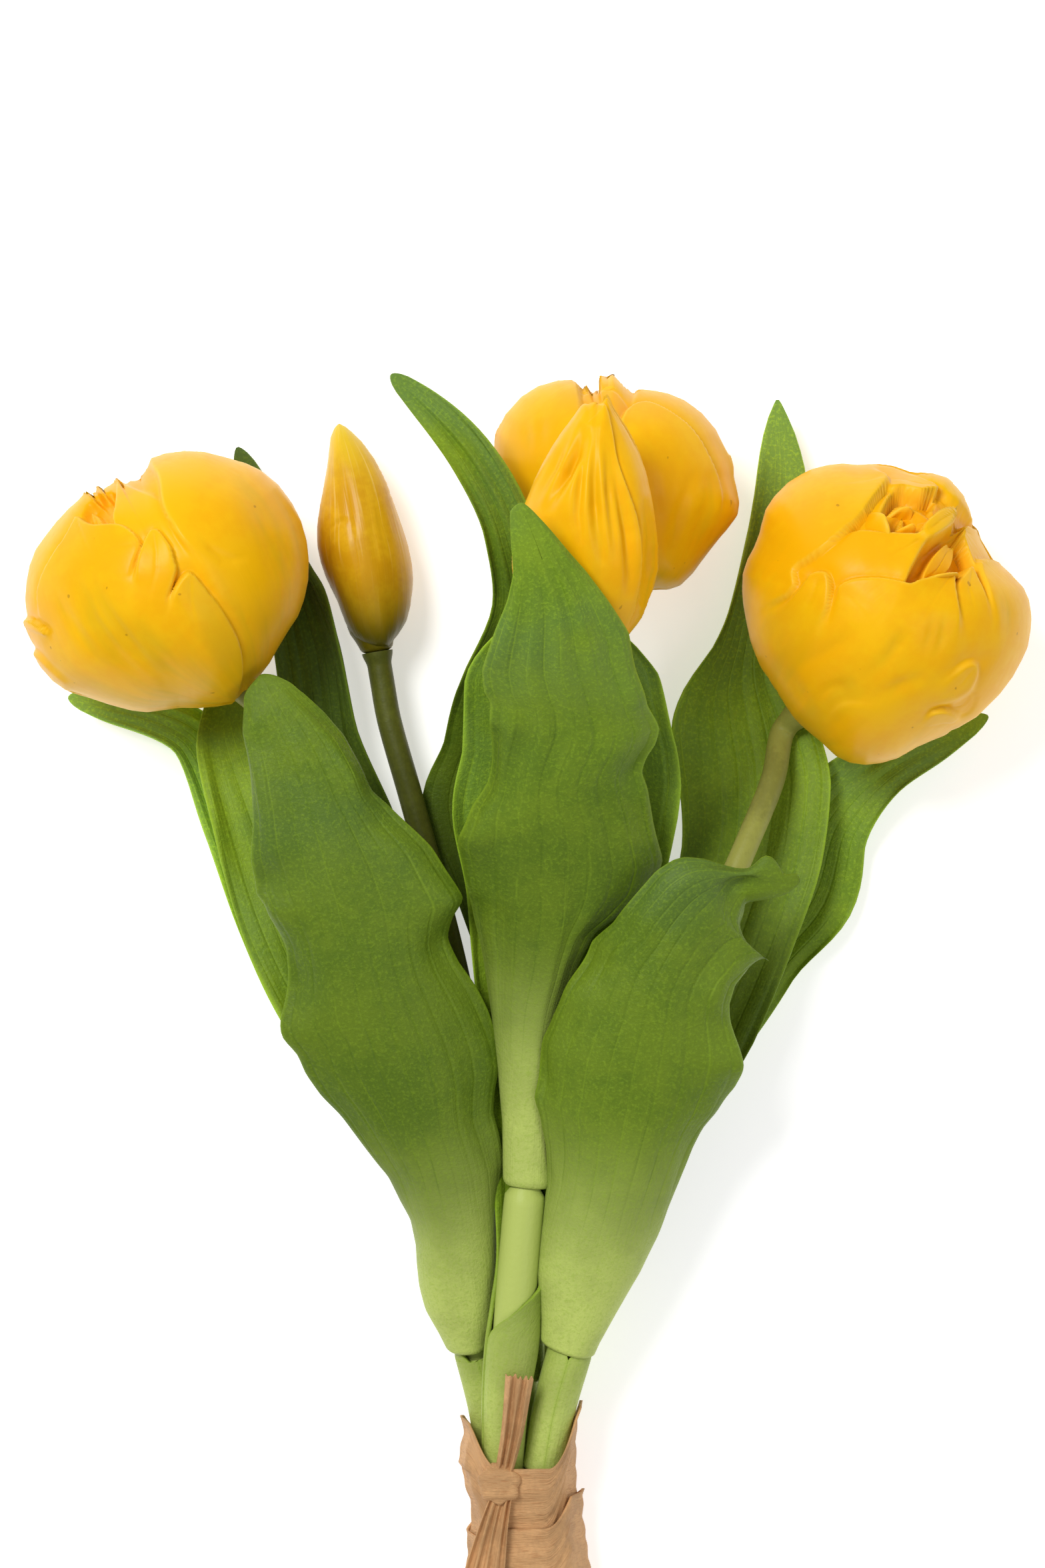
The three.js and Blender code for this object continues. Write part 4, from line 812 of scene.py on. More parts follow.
def smooth(x):
    """A soft step from 0 to 1."""
    x = np.clip(x, 0, 1)
    return x * x * (3 - 2 * x)


def bell(x, wide):
    """1 at 0, falling to nothing both ways over about a width."""
    return np.exp(-((x / wide) ** 2))


def fading(far, run):
    """1 up to 0 and falling off beyond it, over a run."""
    return np.exp(-np.maximum(far, 0) / run)


def rounded(x, start, run, least):
    """How full a section is at x: 1, then down a quarter circle from start, and never below least."""
    return np.sqrt(np.clip(1 - ((x - start) / run).clip(0, 1) ** 2, least, 1))


def laid(under, over, cover):
    """What is on top where one thing covers another."""
    return under * (1 - cover) + over * cover


def metres(points):
    """Places in the scene, from places in the bunch's own millimetres."""
    return (np.asarray(points, float) - MIDDLE) * MILLIMETRE


def unit(v):
    return v / np.linalg.norm(v, axis=-1, keepdims=True)


def sheet(across_it, along_it):
    """UV places from what they are across and along a grid."""
    return np.stack(np.broadcast_arrays(across_it, along_it), -1)


def even_slope(before, after):
    """The slope between two steps of a curve that never swings past its points."""
    both = before + after
    return np.where(before * after > 0, 2 * before * after / np.where(both == 0, 1, both), 0)


def through(rows, t):
    """Rows of values at each t from 0 to 1, along a smooth curve through them."""
    rows = np.asarray(rows, float)
    at = np.clip(t, 0, 1) * (len(rows) - 1)
    k = np.minimum(np.floor(at).astype(int), len(rows) - 2)
    f = (at - k)[:, None]
    a, b, c, d = (rows[np.clip(k + n, 0, len(rows) - 1)] for n in (-1, 0, 1, 2))
    rise = c - b
    slope_in = np.where((k > 0)[:, None], even_slope(b - a, rise), rise)
    slope_out = np.where((k + 2 < len(rows))[:, None], even_slope(rise, d - c), rise)
    bend, twist = 3 * rise - 2 * slope_in - slope_out, slope_in + slope_out - 2 * rise
    return b + f * (slope_in + f * (bend + f * twist))


def across(t, roll):
    """Across directions t: the way that faces up, turned by roll degrees, and the way to the right."""
    face = unit(UP - t * (t @ UP)[..., None])
    right = np.cross(t, face)
    c, s = np.cos(roll * DEGREE)[..., None], np.sin(roll * DEGREE)[..., None]
    turned = face * c + right * s
    return turned, np.cross(t, turned)


def curve_through(points, steps=60):
    """A fine polyline on the centripetal curve through the points."""
    p = np.asarray(points, float)
    p = np.vstack([2 * p[0] - p[1], p, 2 * p[-1] - p[-2]])
    w = np.linspace(0, 1, steps, endpoint=False)[:, None]
    runs = []
    for i in range(1, len(p) - 2):
        x0, x1, x2, x3 = p[i - 1 : i + 3]
        g0, g1, g2 = (np.linalg.norm(b - a) ** 0.5 for a, b in ((x0, x1), (x1, x2), (x2, x3)))
        t1 = ((x1 - x0) / g0 - (x2 - x0) / (g0 + g1) + (x2 - x1) / g1) * g1
        t2 = ((x2 - x1) / g1 - (x3 - x1) / (g1 + g2) + (x3 - x2) / g2) * g1
        bend, twist = 3 * (x2 - x1) - 2 * t1 - t2, 2 * (x1 - x2) + t1 + t2
        runs.append(x1 + w * (t1 + w * (bend + w * twist)))
    return np.vstack([*runs, p[-2][None]])


def stem_curve(name):
    """A stem's fine line, with its last stretch along its flower's axis."""
    flower = FLOWERS[name]
    axis = unit(np.array(flower["points"], float))
    neck = [np.array(flower["foot"]) + axis * back for back in (-NECK, -SEAT)]
    return curve_through([*STEMS[name]["line"], *neck])


CURVES = {name: stem_curve(name) for name in STEMS}


def read_off(at, where, values):
    """Rows of values at other places along the line that they stand on."""
    return np.stack([np.interp(at, where, column) for column in values.T], axis=-1)


def along_stem(name, height):
    """The middle of a stem where it reaches each height along the bunch, and its direction."""
    curve = CURVES[name]
    t = unit(np.gradient(curve, axis=0))
    height = np.atleast_1d(height)
    return read_off(height, curve[:, 1], curve), unit(read_off(height, curve[:, 1], t))


def ripple(x, y, seed, waves=6, reach=3.0):
    """A smooth uneven surface about 0, the same each run: a sum of waves across x and y."""
    rng = np.random.default_rng(seed)
    total = 0
    for _ in range(waves):
        fx, fy, phase = rng.uniform(-reach, reach), rng.uniform(-reach, reach), rng.uniform(0, 2 * math.pi)
        total = total + np.sin(2 * math.pi * (fx * x + fy * y) + phase)
    return total / waves


# Meshes.


def rested(points):
    """The points with those below the table brought up onto it."""
    points = points.copy()
    points[:, 2] = (points[:, 2] + np.sqrt(points[:, 2] ** 2 + TABLE_SOFTNESS)) / 2
    return points


def placed(name, data):
    """A new object in the scene."""
    item = bpy.data.objects.new(name, data)
    bpy.context.scene.collection.objects.link(item)
    return item


class Shell:
    """Gathers closed grids into one mesh, with a UV place and named marks at each point."""

    def __init__(self):
        self.points, self.faces, self.uv, self.marks = [], [], [], {}
        self.count = 0

    def add(self, points, faces, uv, **marks):
        points = points.reshape(-1, 3)
        self.points.append(points)
        self.faces.append(np.asarray(faces).reshape(-1, 4) + self.count)
        self.uv.append(uv.reshape(-1, 2))
        for name, value in marks.items():
            value = value.reshape(-1) if np.ndim(value) else np.full(len(points), value)
            self.marks.setdefault(name, []).append(value)
        self.count += len(points)

    def make(self, name, material, node):
        mesh = bpy.data.meshes.new(name)
        points = metres(rested(np.vstack(self.points)))
        faces = np.vstack(self.faces).tolist()
        mesh.from_pydata(points.tolist(), [], [f if f[2] != f[3] else f[:3] for f in faces])
        corner = np.empty(len(mesh.loops), int)
        mesh.loops.foreach_get("vertex_index", corner)
        uv = np.vstack(self.uv)
        mesh.uv_layers.new(name="UVMap").data.foreach_set("uv", uv[corner].astype(np.float32).ravel())
        for mark, values in self.marks.items():
            layer = mesh.attributes.new(mark, "FLOAT", "POINT")
            layer.data.foreach_set("value", np.concatenate(values).astype(np.float32))
        mesh.polygons.foreach_set("use_smooth", np.ones(len(mesh.polygons), bool))
        mesh.materials.append(material)
        settle(placed(name, mesh), node)


def settle(piece, node):
    """The piece belongs to the bunch and stands for a solid, which is hidden."""
    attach(piece, "root")
    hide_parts(node)


def grid_faces(rows, columns, wrap=False):
    """Faces of a grid of points, seen from its front; wrap joins the last column to the first."""
    j, i = np.meshgrid(np.arange(rows - 1), np.arange(columns if wrap else columns - 1), indexing="ij")
    k = (i + 1) % columns
    here, beyond = j * columns, (j + 1) * columns
    return np.stack([here + i, here + k, beyond + k, beyond + i], -1).reshape(-1, 4)


def slab_faces(rows, columns):
    """Faces of a closed slab: a front grid, the back grid after it, and the rim."""
    front = grid_faces(rows, columns)
    back = front[:, ::-1] + rows * columns
    grid = np.arange(rows * columns).reshape(rows, columns)
    rim = np.concatenate([grid[0], grid[1:, -1], grid[-1, -2::-1], grid[-2:0:-1, 0]])
    after = np.roll(rim, -1)
    wall = np.stack([after, rim, rim + rows * columns, after + rows * columns], -1)
    return np.vstack([front, back, wall])


def add_slab(shell, front, back, uv, **marks):
    """A closed slab between two grids, whose UV places and marks are the same on both."""
    grid = front.shape[:2]
    both = {name: np.tile(np.broadcast_to(value, grid).reshape(-1), 2) for name, value in marks.items()}
    points = np.concatenate([front.reshape(-1, 3), back.reshape(-1, 3)])
    shell.add(points, slab_faces(*grid), np.tile(uv.reshape(-1, 2), (2, 1)), **both)


def rod_faces(rows, columns):
    """Faces of a closed rod through rings of points, fanned at both ends."""
    side = grid_faces(rows, columns, wrap=True)
    last = (rows - 1) * columns
    ends = []
    for i in range(1, columns - 1):
        ends += [[0, i + 1, i, i], [last, last + i, last + i + 1, last + i + 1]]
    return np.vstack([side, ends])


# Shader pieces.


class Nodes:
    """Adds nodes to a tree and links them, one call for each."""

    def __init__(self, tree):
        self.tree = tree

    def add(self, kind, inputs=(), **settings):
        node = self.tree.nodes.new(kind)
        for name, value in settings.items():
            setattr(node, name, value)
        for key, value in dict(inputs).items():
            self.feed(node.inputs[key], value)
        return node

    def feed(self, socket, value):
        if isinstance(value, bpy.types.NodeSocket):
            self.tree.links.new(value, socket)
        else:
            socket.default_value = value

    def math(self, operation, a, b=0.0, clamp=False):
        return self.add("ShaderNodeMath", {0: a, 1: b}, operation=operation, use_clamp=clamp).outputs[0]

    def times(self, a, b):
        return self.math("MULTIPLY", a, b)

    def plus(self, a, b, clamp=False):
        return self.math("ADD", a, b, clamp)

    def off_middle(self, value):
        """How far a value is from a half, either way."""
        return self.math("ABSOLUTE", self.math("SUBTRACT", value, 0.5))

    def band(self, value, low, high, start=0.0, end=1.0):
        """A soft step from start to end as value goes from low to high."""
        inputs = {"Value": value, "From Min": low, "From Max": high, "To Min": start, "To Max": end}
        return self.add("ShaderNodeMapRange", inputs, interpolation_type="SMOOTHSTEP").outputs["Result"]

    def mix(self, share, a, b):
        node = self.add("ShaderNodeMix", data_type="RGBA")
        for key, value in zip((0, 6, 7), (share, a, b)):
            self.feed(node.inputs[key], value)
        return node.outputs[2]

    def tint(self, base, mask, strength, colour):
        """A colour laid over the base where the mask is, at a strength."""
        return self.mix(self.times(mask, strength), base, rgba(colour))

    def noise(self, vector, scale, detail=2.0, rough=0.5):
        inputs = {"Vector": vector, "Scale": scale, "Detail": detail, "Roughness": rough}
        return self.add("ShaderNodeTexNoise", inputs).outputs["Fac"]

    def stretch(self, vector, scale):
        return self.add("ShaderNodeMapping", {"Vector": vector, "Scale": scale}).outputs[0]

    def split(self, vector):
        return self.add("ShaderNodeSeparateXYZ", {0: vector}).outputs

    def mark(self, name):
        return self.add("ShaderNodeAttribute", attribute_name=name).outputs["Fac"]

    def use(self, tree, **inputs):
        """A group with its own values; an underscore in a name stands for a space."""
        node = self.add("ShaderNodeGroup", node_tree=tree)
        for name, value in inputs.items():
            self.feed(node.inputs[name.replace("_", " ")], value)
        return node.outputs

    def mottled(self, place, light, deep, **more):
        """Moulded patches between two colours: their colour and grain."""
        return self.use(patches(), Place=place, Light=rgba(light), Deep=rgba(deep), **more)

    def streak(self, uv, across_it, along_it):
        """Long thin streaks, so many across a piece and along it."""
        return self.use(streaks(), Across_and_along=uv, Stretch=(across_it, along_it, 1.0))["Streak"]


def group(name, inputs, outputs, build):
    """A shader node group with named sockets, built once."""
    tree = bpy.data.node_groups.get(name)
    if tree:
        return tree
    tree = bpy.data.node_groups.new(name, "ShaderNodeTree")
    for label, kind, default in inputs:
        socket = tree.interface.new_socket(name=label, in_out="INPUT", socket_type=kind)
        if default is not None:
            socket.default_value = default
    for label, kind in outputs:
        tree.interface.new_socket(name=label, in_out="OUTPUT", socket_type=kind)
    nodes = Nodes(tree)
    source = nodes.add("NodeGroupInput")
    results = build(nodes, {label: source.outputs[label] for label, _, _ in inputs})
    nodes.add("NodeGroupOutput", results)
    return tree


VALUE, VECTOR, COLOUR = "NodeSocketFloat", "NodeSocketVector", "NodeSocketColor"


def patches():
    """Uneven moulded colour: broad patches and fine grain between two colours."""

    def build(nodes, i):
        broad = nodes.noise(i["Place"], i["Broad"], 3.0, 0.55)
        fine = nodes.noise(i["Place"], i["Fine"], 2.0, 0.6)
        share = nodes.band(nodes.plus(nodes.times(broad, 0.75), nodes.times(fine, 0.25)), 0.4, 0.6)
        return {"Colour": nodes.mix(nodes.times(share, i["Amount"]), i["Light"], i["Deep"]), "Grain": fine}

    inputs = [
        ("Place", VECTOR, None),
        ("Light", COLOUR, None),
        ("Deep", COLOUR, None),
        ("Broad", VALUE, 60.0),
        ("Fine", VALUE, 900.0),
        ("Amount", VALUE, 1.0),
    ]
    return group("moulded_patches", inputs, [("Colour", COLOUR), ("Grain", VALUE)], build)


def lines():
    """Fine lines that run along a piece, evenly spaced across it and wavering a little."""

    def build(nodes, i):
        waver = nodes.noise(nodes.stretch(i["Across and along"], (3.0, 5.0, 1.0)), 1.0, 1.0)
        waver = nodes.times(nodes.math("SUBTRACT", waver, 0.5), i["Waver"])
        at = nodes.times(nodes.plus(nodes.split(i["Across and along"])[0], waver), i["Count"])
        return {"Line": nodes.band(nodes.off_middle(nodes.math("FRACT", at)), 0.0, i["Width"], 1.0, 0.0)}

    inputs = [
        ("Across and along", VECTOR, None),
        ("Count", VALUE, 9.0),
        ("Width", VALUE, 0.1),
        ("Waver", VALUE, 0.0),
    ]
    return group("long_lines", inputs, [("Line", VALUE)], build)


def streaks():
    """Long thin streaks of uneven strength that run along a piece."""

    def build(nodes, i):
        ends = {0: i["Across and along"], 1: i["Stretch"]}
        where = nodes.add("ShaderNodeVectorMath", ends, operation="MULTIPLY").outputs[0]
        return {"Streak": nodes.noise(where, 1.0, 3.0, 0.6)}

    inputs = [("Across and along", VECTOR, None), ("Stretch", VECTOR, (40.0, 3.0, 1.0))]
    return group("long_streaks", inputs, [("Streak", VALUE)], build)


def material(name, roughness, build, bump=0.2, depth=0.0004, inner=0.0, specular=0.5):
    """A finish: build gives the colour, the roughness change and the height from its nodes."""
    made = bpy.data.materials.new(name)
    made.use_nodes = True
    tree = made.node_tree
    shader = tree.nodes["Principled BSDF"].inputs
    nodes = Nodes(tree)
    place = nodes.add("ShaderNodeTexCoord").outputs["Object"]
    uv = nodes.add("ShaderNodeUVMap", uv_map="UVMap").outputs[0]
    colour, rough, height = build(nodes, place, uv)
    relief = nodes.add("ShaderNodeBump", {"Strength": bump, "Distance": depth, "Height": height})
    values = {
        "Base Color": colour,
        "Roughness": nodes.plus(rough, roughness, clamp=True),
        "Normal": relief.outputs[0],
        "Specular IOR Level": specular,
    }
    if inner:
        values["Subsurface Weight"] = inner
        values["Subsurface Radius"] = INNER_GLOW
        values["Subsurface Scale"] = INNER_DEPTH
    for socket, value in values.items():
        nodes.feed(shader[socket], value)
    return made


def rgba(colour):
    return (*colour[:3], 1.0)


def shade(colour, factor):
    return tuple(min(c * factor, 1.0) for c in colour[:3])


# Sizes and colours that a user would change.


def length_property(name, description, default):
    return FloatProperty(name=name, description=description, default=default, unit="LENGTH")


def count_property(name, description, default, low, high):
    return IntProperty(name=name, description=description, default=default, min=low, max=high)


def colour_property(name, description, default):
    return FloatVectorProperty(
        name=name, description=description, default=default, subtype="COLOR", size=3, min=0.0, max=1.0
    )


class BunchSizes(bpy.types.PropertyGroup):
    """The sizes of the bunch's finer pieces."""

    petal: length_property("Petal thickness", "How thick a petal is in its middle", 0.0011)
    blade: length_property("Leaf thickness", "How thick a leaf is beside its rib", 0.00095)
    paper: length_property("Paper thickness", "How thick the paper ribbon looks", 0.0005)
    veins: count_property("Veins", "How many fine veins run along each leaf", 9, 1, 30)
    sides: count_property("Stem sides", "How many faces go round a stem", 24, 6, 64)
    camera_height: length_property("Camera height", "How far the camera is above the table", 1.1)


class BunchColours(bpy.types.PropertyGroup):
    """The colours of the bunch's finishes, as linear values."""

    petal: colour_property("Petal", "The petals' own yellow", (0.86, 0.465, 0.003))
    # Painted shade: the darker amber laid into folds, creases and sunken inner petals.
    painted_fold_shade: colour_property("Fold", "The deeper amber in folds and inner petals", (0.86, 0.34, 0.002))
    petal_edge: colour_property("Petal edge", "The pale thin edge of a petal", (0.96, 0.60, 0.05))
    # The pale edge is the petal's own pale margin and partly a painted highlight along its lip.
    petal_green: colour_property("Petal green", "The faint green at a petal's foot", (0.50, 0.36, 0.008))
    leaf: colour_property("Leaf", "The leaves' mid green", (0.126, 0.196, 0.009))
    leaf_deep: colour_property("Deep leaf", "The darker patches of a leaf", (0.068, 0.13, 0.006))
    leaf_blue: colour_property("Blue leaf", "The cooler green near a leaf's tip", (0.075, 0.140, 0.03))
    leaf_foot: colour_property("Leaf foot", "The pale green of a leaf's foot", (0.475, 0.565, 0.135))
    stem: colour_property("Stem", "The stems' light green", (0.27, 0.275, 0.055))
    olive: colour_property("Olive stem", "The closed bud's dark stem", (0.10, 0.112, 0.013))
    paper: colour_property("Paper", "The ribbon's tan paper", (0.62, 0.35, 0.155))
    paper_deep: colour_property("Paper crease", "The ribbon's darker creases", (0.40, 0.17, 0.06))
    table: colour_property("Table", "The pale table", (0.9, 0.9, 0.9))


# Camera.


class BUNCH_OT_camera(bpy.types.Operator):
    """Looks straight down on the bunch, as the photograph does"""

    bl_idname = "bunch.camera"
    bl_label = "Camera"

    def execute(self, context):
        data = bpy.data.cameras.new("camera")
        data.sensor_width, data.lens, data.clip_end = SENSOR, LENS, CLIP_END
        camera = placed("camera", data)
        camera.location = (*metres([0.0, 0.0, 0.0])[:2], context.scene.bunch_sizes.camera_height)
        context.scene.camera = camera
        return {"FINISHED"}


# Stems, swept along their lines by Geometry Nodes.


def swept_tree():
    """A node tree that turns lines with a girth at each point into closed round rods."""
    tree = bpy.data.node_groups.get("swept_rod")
    if tree:
        return tree
    tree = bpy.data.node_groups.new("swept_rod", "GeometryNodeTree")
    face = tree.interface
    face.new_socket(name="Lines", in_out="INPUT", socket_type="NodeSocketGeometry")
    face.new_socket(name="Sides", in_out="INPUT", socket_type="NodeSocketInt").default_value = 24
    face.new_socket(name="Finish", in_out="INPUT", socket_type="NodeSocketMaterial")
    face.new_socket(name="Rods", in_out="OUTPUT", socket_type="NodeSocketGeometry")
    nodes = Nodes(tree)
    source = nodes.add("NodeGroupInput").outputs

    def step(kind, geometry, **inputs):
        """One geometry node whose first input is the geometry, and its first output."""
        node = nodes.add("GeometryNode" + kind, {name.replace("_", " "): v for name, v in inputs.items()})
        nodes.feed(node.inputs[0], geometry)
        return node.outputs[0]

    def stored(name, curve):
        factor = nodes.add("GeometryNodeSplineParameter").outputs["Factor"]
        return step("StoreNamedAttribute", curve, Name=name, Value=factor)

    rail = stored("along", step("MeshToCurve", source["Lines"]))
    circle = {"Resolution": source["Sides"], "Radius": MILLIMETRE}
    ring = stored("round", nodes.add("GeometryNodeCurvePrimitiveCircle", circle).outputs["Curve"])
    girth_at = nodes.add("GeometryNodeInputNamedAttribute", {"Name": "girth"}, data_type="FLOAT")
    rods = step("CurveToMesh", rail, Profile_Curve=ring, Scale=girth_at.outputs["Attribute"], Fill_Caps=True)
    real = step("RealizeInstances", step("SetShadeSmooth", rods))
    nodes.add("NodeGroupOutput", {"Rods": step("SetMaterial", real, Material=source["Finish"])})
    return tree


def swept(name, line, girths, sides, finish):
    """A rod through a line of points in millimetres, with its girth at every point."""
    mesh = bpy.data.meshes.new(name + "_line")
    mesh.from_pydata(metres(line).tolist(), [(i, i + 1) for i in range(len(line) - 1)], [])
    mesh.attributes.new("girth", "FLOAT", "POINT").data.foreach_set("value", girths.astype(np.float32))
    maker = placed(name, mesh)
    tree = swept_tree()
    modifier = maker.modifiers.new("sweep", "NODES")
    modifier.node_group = tree
    sockets = {s.name: s.identifier for s in tree.interface.items_tree if s.in_out == "INPUT"}
    modifier[sockets["Sides"]] = sides
    modifier[sockets["Finish"]] = finish
    depsgraph = bpy.context.evaluated_depsgraph_get()
    plain = bpy.data.meshes.new_from_object(maker.evaluated_get(depsgraph))
    maker.modifiers.remove(modifier)
    plain.name = name
    maker.data = plain
    bpy.data.meshes.remove(mesh)
    return maker


def stem_radius(name, height, top):
    """How thick a stem is at each height: its moulded foot, its shank and the flare under its flower."""
    radius = np.full(len(height), float(SHANK_RADIUS))
    for low, high, *own in STEMS[name]["thick"]:
        high = high + COLLAR_LONGER if own else high
        inside = smooth((height - low + SHOULDER) / SHOULDER) * smooth((high + SHOULDER - height) / SHOULDER)
        wide = own[0] + COLLAR_WIDER if own else FOOT_RADIUS
        radius = np.maximum(radius, SHANK_RADIUS + (wide - SHANK_RADIUS) * inside)
    return radius + FLARE * smooth(1 - (top - height) / FLARE_RUN)


class BUNCH_OT_stems(bpy.types.Operator):
    """Sweeps the five round stems from their cut ends to their flowers"""

    bl_idname = "bunch.stems"
    bl_label = "Stems"

    def execute(self, context):
        sizes, colours = context.scene.bunch_sizes, context.scene.bunch_colours
        for name in STEMS:
            tone = colours.olive if name == "bud_closed" else colours.stem
            top = CURVES[name][-1, 1]
            shank = np.linspace(CUT_END, top - SHANK_UP_TO, STEM_ROWS)
            height = np.concatenate([shank, np.linspace(top - NECK_FROM, top, NECK_ROWS)])
            line, _ = along_stem(name, height)
            radius = stem_radius(name, height, top)
            finish = stem_finish(name, tone, colours.leaf_foot)
            piece = swept("stem_" + name + "_fine", line, radius, sizes.sides, finish)
            settle(piece, "stem_" + name)
        return {"FINISHED"}


def stem_finish(name, tone, pale):
    """Waxy green, paler towards the tie."""

    def build(nodes, place, uv):
        mottled = nodes.mottled(place, shade(tone, 1.12), shade(tone, 0.8))
        fibre = nodes.noise(nodes.stretch(place, (900.0, 60.0, 900.0)), 1.0, 2.0)
        height = nodes.plus(nodes.times(fibre, 0.6), mottled["Grain"])
        down = nodes.band(nodes.split(place)[1], 0.0, -0.018)
        base = nodes.mix(down, mottled["Colour"], rgba(shade(pale, 0.9)))
        return base, nodes.times(fibre, 0.1), height

    return material("stem_" + name, 0.42, build, bump=0.25, depth=0.0003, specular=0.22)


# Leaves.


def leaf_stations(leaf):
    """The stations of a leaf with its sleeve's in front of them."""
    radii = leaf.get("radii", PLAIN_SLEEVE)
    wrap = leaf.get("wrap", SLEEVE_WRAP)
    share = leaf.get("share", 0.5)
    ends = []
    for height, radius in zip(leaf["sleeve"], radii):
        point, t = along_stem(leaf["stem"], height)
        face, _ = across(t, np.zeros(1))
        rib = point[0] + face[0] * leaf["side"] * radius
        wide = radius * wrap * DEGREE
        ends.append([*rib, wide * share, wide * (1 - share), leaf["side"] * wrap, 0])
    return np.array(ends + leaf["stations"], float)


def vein_places(veins):
    """Where each vein is across a leaf, from -1 to 1."""
    return [(2 * k + 1) / veins - 1 for k in range(veins)]


def leaf_columns(veins):
    """Places across a leaf, closer together at each vein and at the margins."""
    places = set(np.linspace(-1, 1, LEAF_COLUMNS).round(5))
    for middle in vein_places(veins):
        places |= {round(middle + step, 5) for step in VEIN_STEPS}
    places |= {side * at for side in (-1, 1) for at in MARGIN_STEPS}
    ordered = np.array(sorted(places))
    return ordered[np.concatenate([[True], np.diff(ordered) > LEAST_STEP])]


def leaf_rows(count):
    """Places along a leaf, closer together at its sleeve's end and at its tip."""
    return np.concatenate([FOOT_STEPS, np.linspace(0.014, 0.988, count), TIP_STEPS])


def edge_share(middle, edge, line):
    """How far each row of a leaf reaches towards one of its edges in the photograph, 1 as it is."""
    line = np.array(line, float)
    share = np.full(len(middle), np.nan)
    way = edge - middle
    for start, end in zip(line, line[1:]):
        step = end - start
        cross = way[:, 0] * step[1] - way[:, 1] * step[0]
        cross = np.where(np.abs(cross) < 1e-6, 1e-6, cross)
        off = start - middle
        t = (off[:, 0] * step[1] - off[:, 1] * step[0]) / cross
        s = (off[:, 0] * way[:, 1] - off[:, 1] * way[:, 0]) / cross
        hit = (s >= 0) & (s <= 1) & (t > LEAST_REACH) & (t < MOST_REACH)
        share = np.where(hit & ~(share <= t), t, share)
    rows = np.arange(len(middle))
    known = rows[np.isfinite(share)]
    share = np.interp(rows, known, share[known])
    fade = 1 - smooth((np.abs(rows - np.clip(rows, known[0], known[-1])) - 1) / 6)
    share = 1 + (share - 1) * fade
    return np.convolve(np.pad(share, 1, "edge"), [0.15, 0.7, 0.15], "valid")


def leaf_aside(name, u, station, turn, curve, face, right):
    """How far each half of a leaf reaches aside, so that its edges are where the photograph has them."""
    aside = np.ones_like(turn)
    middle = seen(station[:, :3])
    for side, line in LEAF_EDGES.get(name, {}).items():
        most = np.clip(turn[:, side], -math.pi / 2, math.pi / 2)
        edge = station[:, :3] + right * (np.sin(most) / curve[:, 0])[:, None]
        edge = edge + face * ((np.cos(most) - 1) / curve[:, 0])[:, None]
        share = edge_share(middle, seen(edge), line)[:, None]
        aside = np.where(u * (2 * side + 1) < 0, share, aside)
    return aside


def leaf_wave(name, u, v, beyond, spread, seed, veins):
    """How far a blade stands off its smooth form: its waves, vein grooves, tucked sleeve and folds."""
    height, waves = LEAVES[name]["wave"]
    wave = height * spread * u * u * np.sin(2 * math.pi * waves * v + 1.3 * np.sign(u))
    margin = 1.5 * np.abs(u) ** 3 * ripple(0.4 * u, v, seed + 1, 5, 8.0)
    wave = wave + spread * (margin + 0.8 * ripple(u, v, seed + 2, 6, 2.8))
    grooves = sum(bell(u - place, VEIN_WIDTH) for place in vein_places(veins))
    fade = smooth(beyond / 0.3) * smooth((0.97 - v) / 0.25)
    wave = wave - VEIN_DEPTH * grooves * fade - SLEEVE_TUCK * (1 - smooth(v / 0.016))
    for fold_u, fold_v, wide, long, tall in LEAF_FOLDS.get(name, ()):
        wave = wave + tall * np.exp(-(((u - fold_u) / wide) ** 2) - ((v - fold_v) / long) ** 2)
    return wave


def leaf_fullness(u, v, beyond):
    """How thick a blade is beside its middle: thinner outwards, rounded at its edges and both its ends."""
    rim = 1 + (rounded(np.abs(u), *BLADE_RIM) - 1) * smooth(beyond / 0.04)
    thin = 1 - 0.42 * np.abs(u) ** 6 * smooth(beyond / 0.1)
    foot = np.sqrt(np.clip(1 - (1 - v / 0.008).clip(0, 1) ** 2, 0.04, 1))
    return rim * thin * (foot * np.sqrt(np.clip((1.0 - v) / 0.012, 0.05, 1)))


def leaf_pale_foot_and_painted_light(name, v, beyond, points):
    """How pale a leaf is near its foot, and the painted light and shade that lighten or darken it along its
    length.
    """
    run = np.concatenate([[0], np.cumsum(np.linalg.norm(np.diff(points, axis=0), axis=1))])
    pale = 1 - smooth((run - PALE_RUN[0]) / PALE_RUN[1])
    low, high = LEAF_PAINTED_LIGHT.get(name, (1.0, 1.0))
    return pale[:, None], 1 + (low - 1) * smooth(beyond / 0.15) + (high - low) * smooth((v - 0.3) / 0.6)


